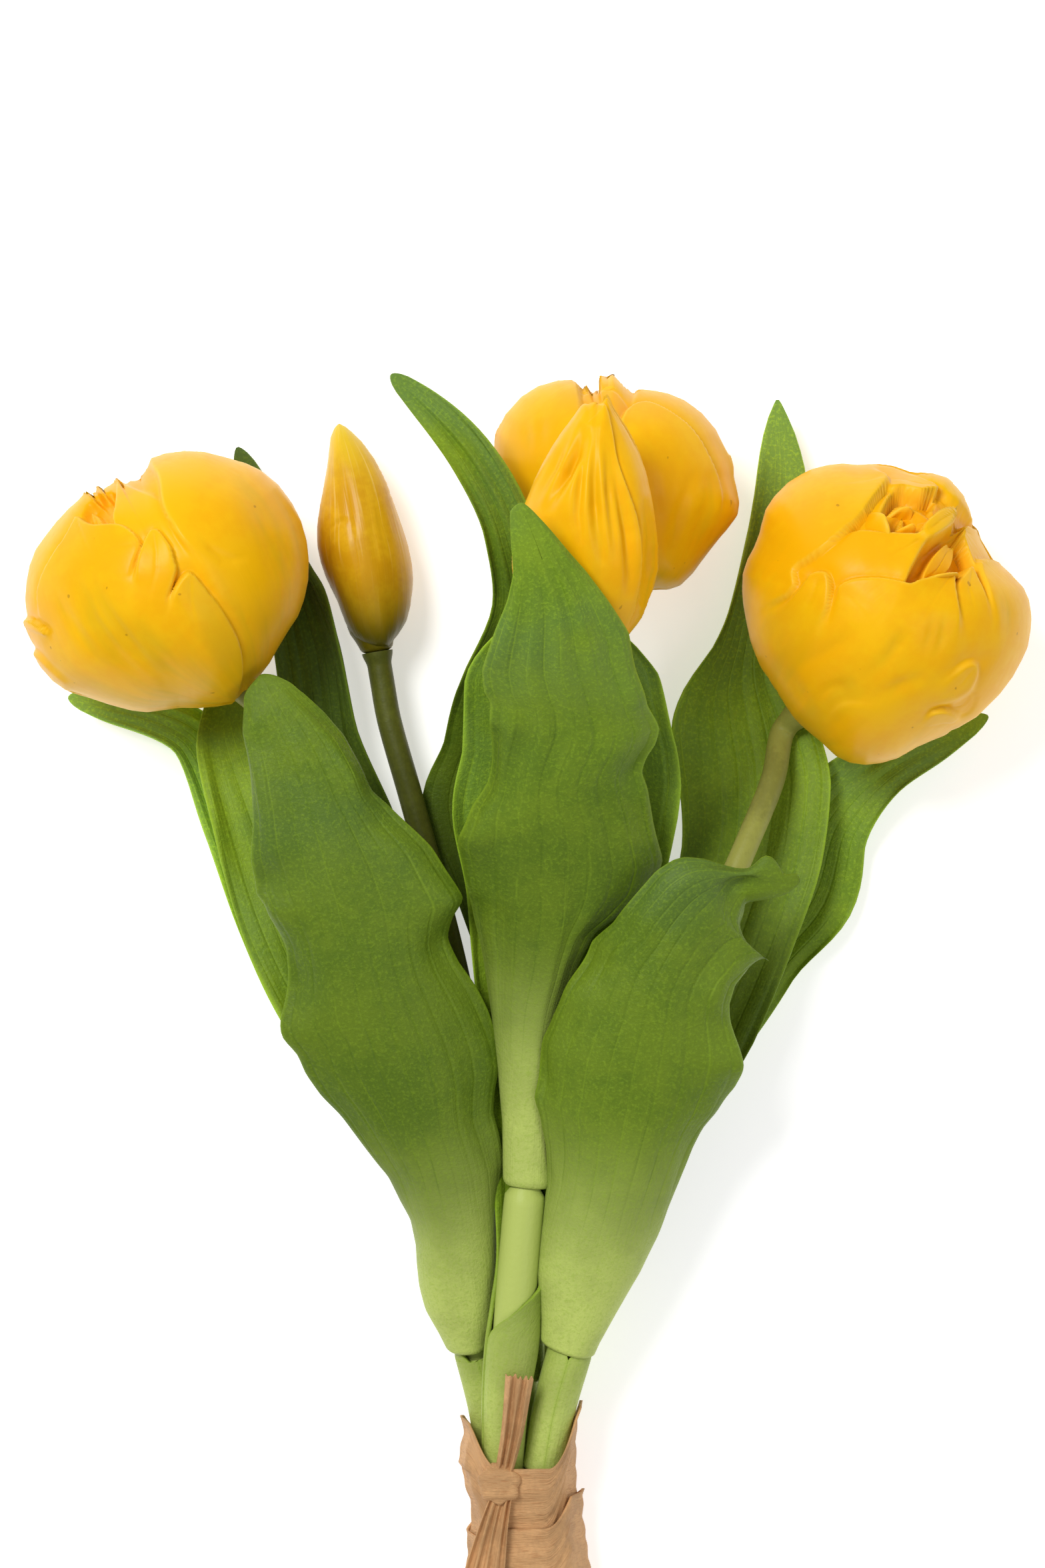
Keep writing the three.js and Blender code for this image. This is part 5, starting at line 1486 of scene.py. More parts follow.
def add_leaf(shell, name, seed, sizes):
    """A leaf as one closed blade, bent across its rib and closed round its stem at its foot."""
    leaf = LEAVES[name]
    stations = leaf_stations({**leaf, **FINER_SLEEVES.get(name, {})})
    rows = leaf_rows(FRONT_ROWS if name in LEAF_FOLDS else BACK_ROWS)
    u, v = leaf_columns(sizes.veins)[None, :], rows[:, None]
    station = through(stations, rows)
    steps = unit(through(stations, rows + 0.01)[:, :3] - through(stations, rows - 0.01)[:, :3])
    face, right = across(steps, station[:, 6])
    left_of, right_of, bend = station[:, 3:4], station[:, 4:5], station[:, 5:6]
    beyond = v - len(leaf["sleeve"]) / (len(stations) - 1)
    spread = smooth(beyond / 0.3) * smooth((1 - v) / 0.2)
    in_and_out = 1 + 0.05 * spread * np.abs(u) ** 3 * ripple(np.sign(u) * 0.7 + 0 * v, v, seed, 5, 7.0)
    curve = bend * DEGREE / (left_of + right_of)
    out = (-left_of + (left_of + right_of) * (u + 1) / 2) * in_and_out
    turn = curve * (out * rounded(v, *BLADE_TIP))
    aside = leaf_aside(name, u, station, turn, curve, face, right)
    normal = face[:, None] * np.cos(turn)[..., None] + right[:, None] * np.sin(turn)[..., None]
    middle = (
        station[:, None, :3]
        + right[:, None] * (aside * np.sin(turn) / curve)[..., None]
        + face[:, None] * ((np.cos(turn) - 1) / curve)[..., None]
    )
    wave = leaf_wave(name, u, v, beyond, spread, seed, sizes.veins)
    half = sizes.blade / MILLIMETRE / 2 * leaf_fullness(u, v, beyond)
    front, back = (middle + normal * (wave + side)[..., None] for side in (half, -half))
    # tone is painted light and shade: a factor that lightens or darkens the leaf's colour.
    pale, tone = leaf_pale_foot_and_painted_light(name, v, beyond, station[:, :3])
    add_slab(shell, front, back, sheet((u + 1) / 2, v), pale=pale, tone=tone)


class BUNCH_OT_leaves(bpy.types.Operator):
    """Makes the long waved leaves with their sleeves, veins and rounded edges"""

    bl_idname = "bunch.leaves"
    bl_label = "Leaves"

    def execute(self, context):
        finish = leaf_finish(context.scene.bunch_colours, context.scene.bunch_sizes.veins)
        for order, name in enumerate(LEAVES):
            shell = Shell()
            add_leaf(shell, name, 40 + 10 * order, context.scene.bunch_sizes)
            shell.make(name + "_fine", finish, name)
        return {"FINISHED"}


def leaf_finish(colours, veins):
    """Matt green in uneven patches, blue-green at the tip, pale at the foot, with faint veins and painted
    light and shade.
    """

    def build(nodes, place, uv):
        green, pale = colours.leaf, nodes.mark("pale")
        side, length, _ = nodes.split(uv)
        body = nodes.mottled(place, green, colours.leaf_deep, Broad=34.0, Fine=420.0, Amount=0.6)
        light = colours.leaf_foot
        foot = nodes.mottled(place, light, shade(light, 0.86), Broad=70.0, Fine=900.0)
        cloud = nodes.band(nodes.noise(place, 26.0, 3.0, 0.6), 0.42, 0.62)
        high = nodes.times(nodes.band(length, 0.55, 0.92), nodes.times(cloud, 0.7))
        base = nodes.mix(high, body["Colour"], rgba(colours.leaf_blue))
        base = nodes.mix(pale, base, foot["Colour"])
        fibre = nodes.streak(uv, 60.0, 4.0)
        vein = nodes.use(lines(), Across_and_along=uv, Count=float(veins), Width=0.07, Waver=0.03)["Line"]
        vein = nodes.times(vein, nodes.band(fibre, 0.35, 0.6))
        vein = nodes.times(vein, nodes.band(pale, 0.0, 0.9, 1.0, 0.0))
        lit = nodes.band(nodes.noise(place, 55.0, 1.0), 0.46, 0.56)
        ink = nodes.mix(lit, rgba(colours.leaf_deep), rgba(shade(green, 1.5)))
        base = nodes.mix(nodes.times(vein, 0.45), base, ink)
        base = nodes.tint(base, nodes.band(fibre, 0.55, 0.8), 0.14, shade(green, 1.9))
        base = nodes.tint(base, nodes.band(nodes.off_middle(side), 0.475, 0.5), 0.35, shade(green, 2.2))
        grain = nodes.noise(place, 1500.0, 2.0, 0.7)
        base = nodes.tint(base, nodes.band(grain, 0.45, 0.75), 0.34, shade(green, 1.9))
        # Painted light and shade: the colour is scaled by each leaf's tone mark.
        painted_light_scaled = nodes.add("ShaderNodeVectorMath", {0: base, 3: nodes.mark("tone")}, operation="SCALE")
        return painted_light_scaled.outputs[0], nodes.times(grain, 0.16), nodes.plus(grain, nodes.times(fibre, 0.8))

    return material("leaf_green", 0.44, build, bump=0.4, depth=0.0004, specular=0.2)


# Flowers.


def flower_frame(name):
    """A flower's foot, and its axis, its upward face and its right side as directions."""
    flower = FLOWERS[name]
    axis = unit(np.array(flower["points"], float))
    face, right = (side[0] for side in across(axis[None], np.zeros(1)))
    return np.array(flower["foot"], float), axis, face, right


def beside_axis(frame_of, rise, forward, aside):
    """Places so far up a flower's axis, towards its face and to its right."""
    foot, axis, face, right = frame_of
    return foot + axis * rise[..., None] + face * forward[..., None] + right * aside[..., None]


def flower_surface(name):
    """A flower's place for an azimuth and a latitude in degrees, that far outside its smooth form."""
    flower, frame_of = FLOWERS[name], flower_frame(name)
    radius, height, ends = flower["radius"], flower["height"], flower["ends"]
    bulge = flower.get("bulge", 0)

    def place(azimuth, latitude, out):
        around, up = azimuth * DEGREE, np.clip(latitude, -89.9, 89.9) * DEGREE
        full = np.maximum(np.cos(up), 0) ** np.where(latitude < 0, ends[0], ends[1])
        lean_out, lean_up = np.cos(up) * height, np.sin(up) * 2 * radius
        size = np.hypot(lean_out, lean_up)
        reach = radius * full + lean_out / size * out
        rise = height / 2 * (1 + np.sin(up)) + lean_up / size * out
        aside = reach * np.sin(around) + bulge * np.cos(up) ** 2
        return beside_axis(frame_of, rise, reach * np.cos(around), aside)

    return place


def seen_scale(height):
    """How many points of the photograph a millimetre takes, at each height over the table."""
    return SEEN_SCALE * (SEEN_FROM - SEEN_HEIGHT) / (SEEN_FROM - height)


def seen(points):
    """Where the camera sees each place, in points of the photograph."""
    scale = seen_scale(points[..., 2])
    return np.stack([SEEN_MIDDLE[0] + scale * points[..., 0], SEEN_MIDDLE[1] - scale * points[..., 1]], -1)


def unseen(flat, height):
    """The places at each height that the camera sees at these points of the photograph."""
    scale = seen_scale(height)
    x, y = flat[..., 0] - SEEN_MIDDLE[0], SEEN_MIDDLE[1] - flat[..., 1]
    return np.stack([x / scale, y / scale, height], -1)


def evened(values, times):
    """Values round a flower, each brought so many times to the mean of itself and its neighbours."""
    for _ in range(times):
        values = (np.roll(values, 1) + values + np.roll(values, -1)) / 3
    return values


def farthest(places, middle, bins):
    """How far places reach from a middle, in each direction round it."""
    slots = len(bins) - 1
    off = places.reshape(-1, 2) - middle
    angle, far = np.arctan2(off[:, 1], off[:, 0]), np.hypot(off[:, 0], off[:, 1])
    slot = np.digitize(angle, bins) % slots
    most = np.array([far[slot == k].max() if (slot == k).any() else np.nan for k in range(slots)])
    known = np.isfinite(most)
    return np.interp(np.arange(slots), np.arange(slots)[known], most[known], period=slots)


def fit_outline(name):
    """A warp in plan that brings a flower's smooth form to its outline in the photograph."""
    edge = np.array(OUTLINES[name], float)
    edge = np.vstack([edge + (np.roll(edge, -1, 0) - edge) * t for t in np.linspace(0, 0.95, EDGE_STEPS)])
    middle = (edge.min(0) + edge.max(0)) / 2
    whole = np.meshgrid(np.linspace(-180, 179, SLOTS), np.linspace(-POLE, POLE, FORM_ROWS))
    form = seen(flower_surface(name)(*whole, np.array(SKIN)))
    bins = np.linspace(-math.pi, math.pi, SLOTS + 1)
    had = evened(farthest(form, middle, bins), EVEN_FORM)
    share = farthest(edge, middle, bins) / had
    broad = evened(share, EVEN_BROAD)
    centres = bins[:-1] - (bins[1] - bins[0]) / 2
    around = np.concatenate([centres - 2 * math.pi, centres, centres + 2 * math.pi])

    def warp(points):
        off = seen(points) - middle
        angle = np.arctan2(off[..., 1], off[..., 0])
        near_edge = np.hypot(off[..., 0], off[..., 1]) / np.interp(angle, around, np.tile(had, 3))
        grow = np.interp(angle, around, np.tile(broad, 3))
        grow = grow + np.interp(angle, around, np.tile(share - broad, 3)) * np.clip(near_edge, 0, 1.1) ** 7
        return unseen(middle + off * grow[..., None], points[..., 2])

    return warp


def line_reach(places, line, closed):
    """How far each place is from a line of points, and the line's own values there."""
    ends = np.roll(line, -1, 0) if closed else line[1:]
    near = np.full(places.shape[:-1], 1e9)
    value = np.zeros_like(near)
    for start, end in zip(line, ends):
        step = end[:2] - start[:2]
        off = places - start[:2]
        t = np.clip((off @ step) / max(step @ step, 1e-9), 0, 1)
        far = np.hypot(off[..., 0] - t * step[0], off[..., 1] - t * step[1])
        closer = far < near
        near = np.where(closer, far, near)
        value = np.where(closer, start[2] + (end[2] - start[2]) * t, value)
    return near, value


def inside_line(places, line):
    """Which places are inside a closed line of points."""
    inside = np.zeros(places.shape[:-1], bool)
    x, y = places[..., 0], places[..., 1]
    for (x0, y0, _), (x1, y1, _) in zip(line, np.roll(line, -1, 0)):
        if y0 != y1:
            cuts = (y0 > y) != (y1 > y)
            inside ^= cuts & (x < (x1 - x0) * (y - y0) / (y1 - y0) + x0)
    return inside


def softened(line):
    """A closed line of points with its corners cut once."""
    after = np.roll(line, -1, 0)
    return np.stack([0.75 * line + 0.25 * after, 0.25 * line + 0.75 * after], 1).reshape(-1, line.shape[1])


def furrow_line(points):
    """A furrow's points with its strength at each, which comes in and goes out along it."""
    k = np.arange(len(points))
    strength = np.minimum(np.minimum(1, 2.5 * k / len(points)), 2.5 * (1 - k / (len(points) - 1)))
    return np.column_stack([points, strength])


def slopes(values):
    """How values change from row to row, and from place to place round a flower."""
    return np.gradient(values, axis=0), (np.roll(values, -1, 1) - np.roll(values, 1, 1)) / 2


def steepness(level, lengths):
    """How fast a level changes over a flower's skin, for a millimetre."""
    along, around = (slope / length for slope, length in zip(slopes(level), lengths))
    return np.sqrt(along**2 + around**2)


def seen_relief(name, base, lengths):
    """The fused petals of the side that faces up, as heights over the smooth form, with their marks."""
    flat = seen(base)
    marks = {key: np.zeros(base.shape[:2]) for key in ("height", "deep", "edge", "crease", "green")}
    for sunk, deep, margin in PETALS_SEEN[name]:
        line = softened(np.array(margin, float))
        far, strength = line_reach(flat, line, True)
        level = np.where(inside_line(flat, line), far, -far)
        reach = level / np.clip(steepness(level, lengths), *STEEPNESS)
        soft = SOFT_LEAST + SOFT_MORE * (1 - strength)
        cover = smooth((reach + soft) / (2 * soft))
        inward = strength * (LIP * fading(reach, LIP_RUN) - LIP_ROUND * fading(reach, ROUND_RUN))
        outward = strength * TROUGH * fading(-reach, TROUGH_RUN)
        # Painted shade: deep lays amber on sunken petals, and beside darkens the crease just outside each
        # margin.
        beside = (1 - cover) * strength * fading(-reach, PAINTED_CREASE_RUN)
        marks["height"] = laid(marks["height"] - outward, inward - sunk, cover)
        marks["deep"] = laid(marks["deep"], deep, cover)
        marks["crease"] = np.maximum(marks["crease"] * (1 - cover), beside)
        marks["edge"] = laid(marks["edge"], strength * bell(reach - EDGE_IN, EDGE_WIDE), cover)
    for depth, wide, points in FURROWS[name]:
        far, strength = line_reach(flat, furrow_line(points), False)
        groove = strength * bell(far, wide * SEEN_SCALE) * (1 - marks["deep"])
        marks["height"] -= FURROW_DEPTH * depth * groove
        marks["green"] = np.maximum(marks["green"], groove)
        # Painted shade: a furrow darkens like a crease, as deep as it is.
        marks["crease"] = np.maximum(marks["crease"], groove * min(depth / FULL_PAINTED_SHADE_DEPTH, 1))
    return marks


def petal_shape(v):
    """How wide a petal is along it, 1 at its foot and 0 at its tip."""
    return np.maximum(1 - np.clip(v, 0, 1) ** 3.4, 0) ** 0.62


def petal_reach(row, azimuth, latitude, lengths, seed):
    """How far inside a petal's margin each point is, in millimetres, and its place across and along it."""
    middle_foot, half, middle_tip, tip, _ = row
    span = tip - PETAL_FOOT
    v = np.clip((latitude - PETAL_FOOT) / span, 0, 1.4)
    uneven = 1 + 0.06 * ripple(0.3 + 0 * v, v, seed, 4, 3.0)
    for _ in range(2):
        middle = middle_foot + (middle_tip - middle_foot) * np.minimum(v, 1) ** 2
        u = ((azimuth - middle + 180) % 360 - 180) / half
        inside = np.clip(np.abs(u) / np.maximum(petal_shape(v) * uneven, 0.05), 0, 1)
        v = np.clip((latitude - PETAL_FOOT + 7 * (inside * np.minimum(v, 1)) ** 2) / span, 0, 1.4)
    v = v + 0.012 * ripple(u, 0 * v, seed + 1, 5, 2.5)
    level = petal_shape(v) * uneven - np.abs(u) - 2.5 * np.maximum(v - 1, 0)
    return level / (steepness(level, lengths) + 1e-6), u, v


def hidden_relief(flower, azimuth, latitude, lengths, seed, hollow):
    """The fused petals of the sides and the back, from the solids' own petals."""
    marks = {key: np.zeros_like(latitude) for key in ("height", "deep", "green", "edge", "crease")}
    marks["height"] = -CORE_SUNK - hollow * smooth((latitude - flower["cup"] + CUP_ABOVE) / CUP_RUN)
    # Painted shade: the sunk core is fully deep amber.
    marks["deep"] += 1
    for n, row in enumerate(flower["petals"]):
        layer = row[-1]
        reach, u, v = petal_reach(row, azimuth, latitude, lengths, seed + 11 * n)
        cover = smooth((reach + 0.3) / 0.6)
        fade = smooth((v - 0.15) / 0.4)
        top = -LAYER_STEP * layer + 0.5 * fade * fading(reach, LIP_RUN)
        top = top + 0.3 * ripple(0.9 * np.clip(u, -1.5, 1.5), 0.5 * v, seed + 100 + n, 6, 2.0)
        # Painted shade: under darkens the crease just outside a petal's margin, and deeper layers take more
        # amber.
        under = fade * fading(-reach, 1.2) * (1 - cover)
        marks["height"] = laid(marks["height"] - 0.6 * under, top, cover)
        marks["deep"] = laid(marks["deep"], min(layer / 5, 1), cover)
        marks["crease"] = np.maximum(marks["crease"] * (1 - cover), under)
        marks["edge"] = laid(marks["edge"], bell(reach - 0.25, EDGE_WIDE) * fade, cover)
    return marks


def flower_grid(columns, rows):
    """Azimuths and latitudes all over a flower, closer together on the side that faces up."""
    turn = np.linspace(-math.pi, math.pi, columns, endpoint=False)
    down = np.linspace(0, 1, rows)
    latitude = 0.55 * np.degrees(np.arcsin(2 * down - 1)) + 0.45 * (180 * down - 90)
    return np.meshgrid((turn - DENSE * np.sin(turn)) / DEGREE, np.clip(latitude, -POLE, POLE))


def add_ball(shell, name, seed, warp, hollow=8.0, strength=1.0):
    """A flower's fused petals as one closed skin."""
    place = flower_surface(name)
    columns, rows = FLOWER_GRIDS[name]
    azimuth, latitude = flower_grid(columns, rows)
    base = warp(place(azimuth, latitude, np.zeros_like(azimuth)))
    step_along, step_round = slopes(base)
    lengths = [np.maximum(np.linalg.norm(step, axis=-1), 1e-3) for step in (step_along, step_round)]
    hidden = hidden_relief(FLOWERS[name], azimuth, latitude, lengths, seed, hollow)
    in_sight = seen_relief(name, base, lengths)
    facing = smooth((unit(np.cross(step_round, step_along))[..., 2] + 0.12) / 0.3)
    marks = {key: laid(value * strength, in_sight[key], facing) for key, value in hidden.items()}
    a = azimuth * DEGREE
    lumps = 0.3 * np.sin(2 * a + 0.05 * latitude + seed) + 0.25 * np.sin(3 * a - 0.07 * latitude + 2 * seed)
    height = marks.pop("height") + lumps * np.cos(latitude * DEGREE)
    height = height + 0.12 * ripple(azimuth / 60, latitude / 90, seed, 10, 2.5)
    points = warp(place(azimuth, latitude, height))
    shell.add(points, rod_faces(rows, columns), sheet(azimuth / 360 + 0.5, (latitude + 90) / 180), **marks)


def add_inner_petal(shell, name, row, seed, petal, warp):
    """A thin petal standing in the opening of a bloom."""
    azimuth, half, reach, low, high, lean, curl, shift_face, shift_right = row
    u = np.linspace(-1, 1, INNER_COLUMNS)[None, :]
    v = np.concatenate([[0, 0.004], np.linspace(0.02, 0.98, INNER_ROWS), [0.992, 1]])[:, None]
    top = high - 0.42 * (high - low) * np.abs(u) ** 2.4 + 0.35 * ripple(u, 0 * v, seed, 5, 2.5)
    rise = low + (top - low) * v
    turn = (azimuth + half * u * (1 - 0.25 * v)) * DEGREE
    out = reach + lean * v**1.5 + curl * v**3 * (1 - u * u) + 0.25 * ripple(u, v, seed + 1, 5, 1.8)
    rim = rounded(np.abs(u), *PETAL_RIM) * np.sqrt(np.clip((1 - v) / 0.03, 0.1, 1))
    sides = []
    for side in (1, -1):
        r = out + side * (THIN_PETAL * petal / MILLIMETRE) * rim
        forward, aside = r * np.cos(turn) + shift_face, r * np.sin(turn) + shift_right
        sides.append(warp(beside_axis(flower_frame(name), rise, forward, aside)))
    uv = sheet(0.5 + u / 4 + 0.21 * seed, 0.55 + 0.3 * v)
    edge = np.maximum(bell(1 - np.abs(u), 0.05), bell(1 - v, 0.05))
    # Painted shade: more amber and crease darkening towards the foot, deep in the opening.
    deep, crease = np.clip(1.0 - 0.75 * v, 0, 1), np.clip(0.7 - v, 0, 1)
    add_slab(shell, *sides, uv, deep=deep, edge=edge, crease=crease, green=0.0)


def add_receptacle(shell, name):
    """The small round seat of the flower on its stem."""
    rise, reach = np.array(RECEPTACLE).T[..., None]
    turn = np.linspace(0, 2 * math.pi, RECEPTACLE_SIDES, endpoint=False)[None, :]
    points = beside_axis(flower_frame(name), rise + 0 * turn, reach * np.cos(turn), reach * np.sin(turn))
    uv = sheet(turn / (2 * math.pi), 0.02 + 0 * rise)
    shell.add(points, rod_faces(len(rise), turn.shape[1]), uv, deep=0.0, edge=0.0, crease=0.0, green=0.0)


def make_flower(name, finish, slot, seed, petal, **shape):
    """A flower's skin, the petals in its opening and its seat, as one piece."""
    shell = Shell()
    warp = fit_outline(name)
    add_ball(shell, name, seed, warp, **shape)
    for n, row in enumerate(INNER_PETALS.get(name, [])):
        add_inner_petal(shell, name, row, seed + 3 * n, petal, warp)
    add_receptacle(shell, name)
    shell.make(name + "_fine", finish, name)


class BUNCH_OT_blooms(bpy.types.Operator):
    """Makes the three double blooms, petal by petal"""

    bl_idname = "bunch.blooms"
    bl_label = "Double blooms"

    def execute(self, context):
        finish = petal_finish("petal_yellow", context.scene.bunch_colours, 1.0)
        for order, name in enumerate(INNER_PETALS):
            make_flower(name, finish, "petal", 10 + 10 * order, context.scene.bunch_sizes.petal)
        return {"FINISHED"}


class BUNCH_OT_buds(bpy.types.Operator):
    """Makes the ridged bud and the closed bud"""

    bl_idname = "bunch.buds"
    bl_label = "Buds"

    def execute(self, context):
        petal, colours = context.scene.bunch_sizes.petal, context.scene.bunch_colours
        orange, green = petal_finish("petal_orange", colours, 0.97), green_bud_finish()
        make_flower("bud_ridged", orange, "bud", 50, petal, hollow=0.5)
        make_flower("bud_closed", green, "green_bud", 60, petal, hollow=0.3, strength=0.1)
        return {"FINISHED"}


def petal_finish(name, colours, yellow):
    """Satin yellow, painted amber shade in folds, a pale thin edge partly painted as a highlight, faint
    green at the foot.
    """
    warm = (colours.petal[0], colours.petal[1] * yellow, colours.petal[2])
    dull = (warm[0] * 0.98, warm[1] * 0.9, warm[2] * 0.5)

    def build(nodes, place, uv):
        body = nodes.mottled(place, warm, dull, Broad=60.0, Fine=500.0)
        # Painted shade: amber on sunken and inner petals (deep mark) and in creases and furrows (crease
        # mark).
        base = nodes.tint(body["Colour"], nodes.mark("deep"), 0.55, colours.painted_fold_shade)
        base = nodes.tint(base, nodes.mark("crease"), 0.12, colours.painted_fold_shade)
        foot = nodes.band(nodes.split(uv)[1], 0.1, 0.75, 1.0, 0.0)
        greenish = nodes.plus(foot, nodes.mark("green"), clamp=True)
        greenish = nodes.times(nodes.band(nodes.streak(uv, 16.0, 1.6), 0.42, 0.62), greenish)
        base = nodes.tint(base, greenish, 0.36, colours.petal_green)
        # The pale edge: the petal's own pale margin, and partly a painted highlight along its lip.
        base = nodes.tint(base, nodes.mark("edge"), 0.42, colours.petal_edge)
        speck = nodes.band(nodes.noise(place, 420.0, 1.0), 0.77, 0.8)
        base = nodes.tint(base, speck, 0.5, shade(colours.painted_fold_shade, 0.35))
        height = nodes.plus(nodes.streak(uv, 75.0, 3.0), nodes.times(body["Grain"], 0.2))
        return base, nodes.times(body["Grain"], 0.12), height

    return material(name, 0.3, build, bump=0.14, depth=0.0004, inner=0.05, specular=0.12)


def green_bud_finish():
    """From a yellow-green tip through amber to an olive foot, with fine pale streaks and painted shade in
    its creases.
    """

    def build(nodes, place, uv):
        length = nodes.split(uv)[1]
        amber = nodes.mottled(place, (0.70, 0.405, 0.009), (0.61, 0.315, 0.005), Broad=90.0, Fine=700.0)
        low = nodes.band(length, 0.1, 0.44, 1.0, 0.0)
        base = nodes.mix(low, amber["Colour"], rgba((0.13, 0.105, 0.003)))
        base = nodes.tint(base, nodes.band(length, 0.6, 0.95), 0.9, (0.78, 0.56, 0.03))
        streak = nodes.streak(uv, 60.0, 2.5)
        pale = nodes.times(nodes.band(streak, 0.56, 0.7), nodes.band(length, 0.3, 0.5))
        base = nodes.tint(base, pale, 0.4, (0.86, 0.66, 0.2))
        # Painted shade: darker amber in creases and furrows.
        base = nodes.tint(base, nodes.mark("crease"), 0.3, (0.4, 0.17, 0.004))
        return base, nodes.times(streak, 0.1), streak

    return material("bud_green", 0.26, build, bump=0.25, depth=0.0004, inner=0.08, specular=0.2)


# The paper ribbon.


def girth(name, height):
    """How thick a stem is at a height, with the sleeve that is over it there."""
    for leaf in LEAVES.values():
        low, high = leaf["sleeve"][:2]
        if leaf["stem"] == name and height > low - SHOULDER:
            if height > leaf["sleeve"][-1]:
                break
            radii = leaf.get("radii", PLAIN_SLEEVE)
            return radii[0] + (height - low) / (high - low) * (radii[1] - radii[0]) + SLEEVE_HALF
    return FOOT_RADIUS


def round_stems(height, way, out):
    """Points of the line drawn tight round the stems at one height, for each way round them."""
    best, places = np.full(len(way), -1e9), np.zeros((len(way), 3))
    for name in STEMS:
        point, _ = along_stem(name, height)
        place = np.array([point[0, 0], height, point[0, 2]]) + way * (girth(name, height) + out)
        far = (place * way).sum(-1)
        nearer = far > best
        best = np.where(nearer, far, best)
        places[nearer] = place[nearer]
    return places


def add_turn(shell, turn_of, order, sizes):
    """One turn of the ribbon: an outer and an inner face, creased along the strip."""
    left, front, right, back = turn_of["edge"]
    paper = sizes.paper / MILLIMETRE
    under = RIBBON_SEAT + turn_of["layer"] * RIBBON * RIBBON_LAYER + RIBBON - paper
    fine = np.linspace(0, 2 * math.pi, TURN_STEPS, endpoint=False)
    way = np.stack([np.cos(fine), np.zeros_like(fine), np.sin(fine)], -1)
    upper = np.where(np.cos(fine) < 0, left, right) * np.cos(fine) ** 2
    upper = upper + np.where(np.sin(fine) > 0, front, back) * np.sin(fine) ** 2
    around = np.linspace(0, 1, TURN_COLUMNS, endpoint=False)
    outer, inner = [], []
    for down in np.linspace(0, 1, TURN_ROWS):
        height = upper - turn_of["width"] * down
        line = round_stems(float(height.mean()), way, under)
        loose = turn_of["loose"] * np.maximum(-np.cos(fine), 0) ** 8
        loose = loose * math.sin(math.pi * min(down * 1.2, 1)) ** 2
        flare = TURN_FLARE * max(1 - down / 0.3, 0) ** 2 * (0.4 + 0.6 * np.abs(np.cos(fine)))
        folds = 5.5 * down + 0.5 * np.sin(fine + order) + 0.3 * np.sin(3 * fine)
        crease = TURN_FOLDS * np.sin(2 * math.pi * folds)
        uneven = ripple(fine / RIPPLE_TURN, np.full_like(fine, down), 90 + order, 8, 5.0)
        crease = crease + TURN_UNEVEN * uneven
        line = line + way * (loose + flare + crease)[:, None]
        ragged = TURN_RAGGED * ripple(fine / RIPPLE_TURN, np.zeros_like(fine), 70 + order, 5, 4.0)
        line[:, 1] = height + ragged * (1 if down in (0, 1) else 0.3)
        closed = np.vstack([line, line[:1]])
        run = np.concatenate([[0], np.cumsum(np.linalg.norm(np.diff(closed[:, [0, 2]], axis=0), axis=1))])
        inner.append(read_off(around * run[-1], run, closed))
        outward = unit(read_off(around * run[-1], run, np.vstack([way, way[:1]])))
        outer.append(inner[-1] + outward * paper)
    grid = np.concatenate([outer, inner[::-1]])
    v = np.concatenate([np.linspace(0, 1, TURN_ROWS), np.linspace(1, 0, TURN_ROWS)])[:, None]
    uv = sheet(around[None, :] * 3.2, v * 0.27 + 0.4 * order)
    last = (2 * TURN_ROWS - 1) * TURN_COLUMNS
    i = np.arange(TURN_COLUMNS)
    k = (i + 1) % TURN_COLUMNS
    seam = np.stack([last + i, last + k, k, i], -1)
    faces = np.vstack([grid_faces(2 * TURN_ROWS, TURN_COLUMNS, wrap=True), seam])
    shell.add(grid[:, ::-1], faces, uv[:, ::-1])


def add_tail(shell, tail, order, sizes):
    """A pleated tail of the ribbon from the knot outwards."""
    strip = np.column_stack([tail["line"], tail["half"]])
    rows = np.concatenate([[0], np.linspace(0.006, 0.994, TAIL_ROWS), [1]])
    values = through(strip, rows)
    t = unit(through(strip, rows + 0.02)[:, :3] - through(strip, rows - 0.02)[:, :3])
    face, right = across(t, np.zeros(len(rows)))
    u, v = np.linspace(-1, 1, TAIL_COLUMNS)[None, :], rows[:, None]
    uneven = 0.07 * ripple(u, v, 31 + order, 4, 1.5)
    pleat = PLEAT * np.cos(2 * math.pi * tail["pleats"] * (u + uneven) / 2)
    pleat = pleat + TAIL_UNEVEN * ripple(u, 0.4 * v, 33 + order, 6, 3.0)
    ragged = TAIL_RAGGED * ripple(u, 0 * v, 35 + order, 5, 3.0) * smooth((v - 0.9) / 0.1)
    middle = values[:, None, :3] + right[:, None] * (u * values[:, 3:4])[..., None]
    middle = middle + face[:, None] * pleat[..., None] + t[:, None] * ragged[..., None]
    half = sizes.paper / MILLIMETRE / 2 * (rounded(np.abs(u), *TAIL_RIM) + 0 * v)
    front, back = (middle + face[:, None] * side[..., None] for side in (half, -half))
    add_slab(shell, front, back, sheet(v * 1.4 + 0.3 * order, (u + 1) / 2 * 0.1 + 0.9))


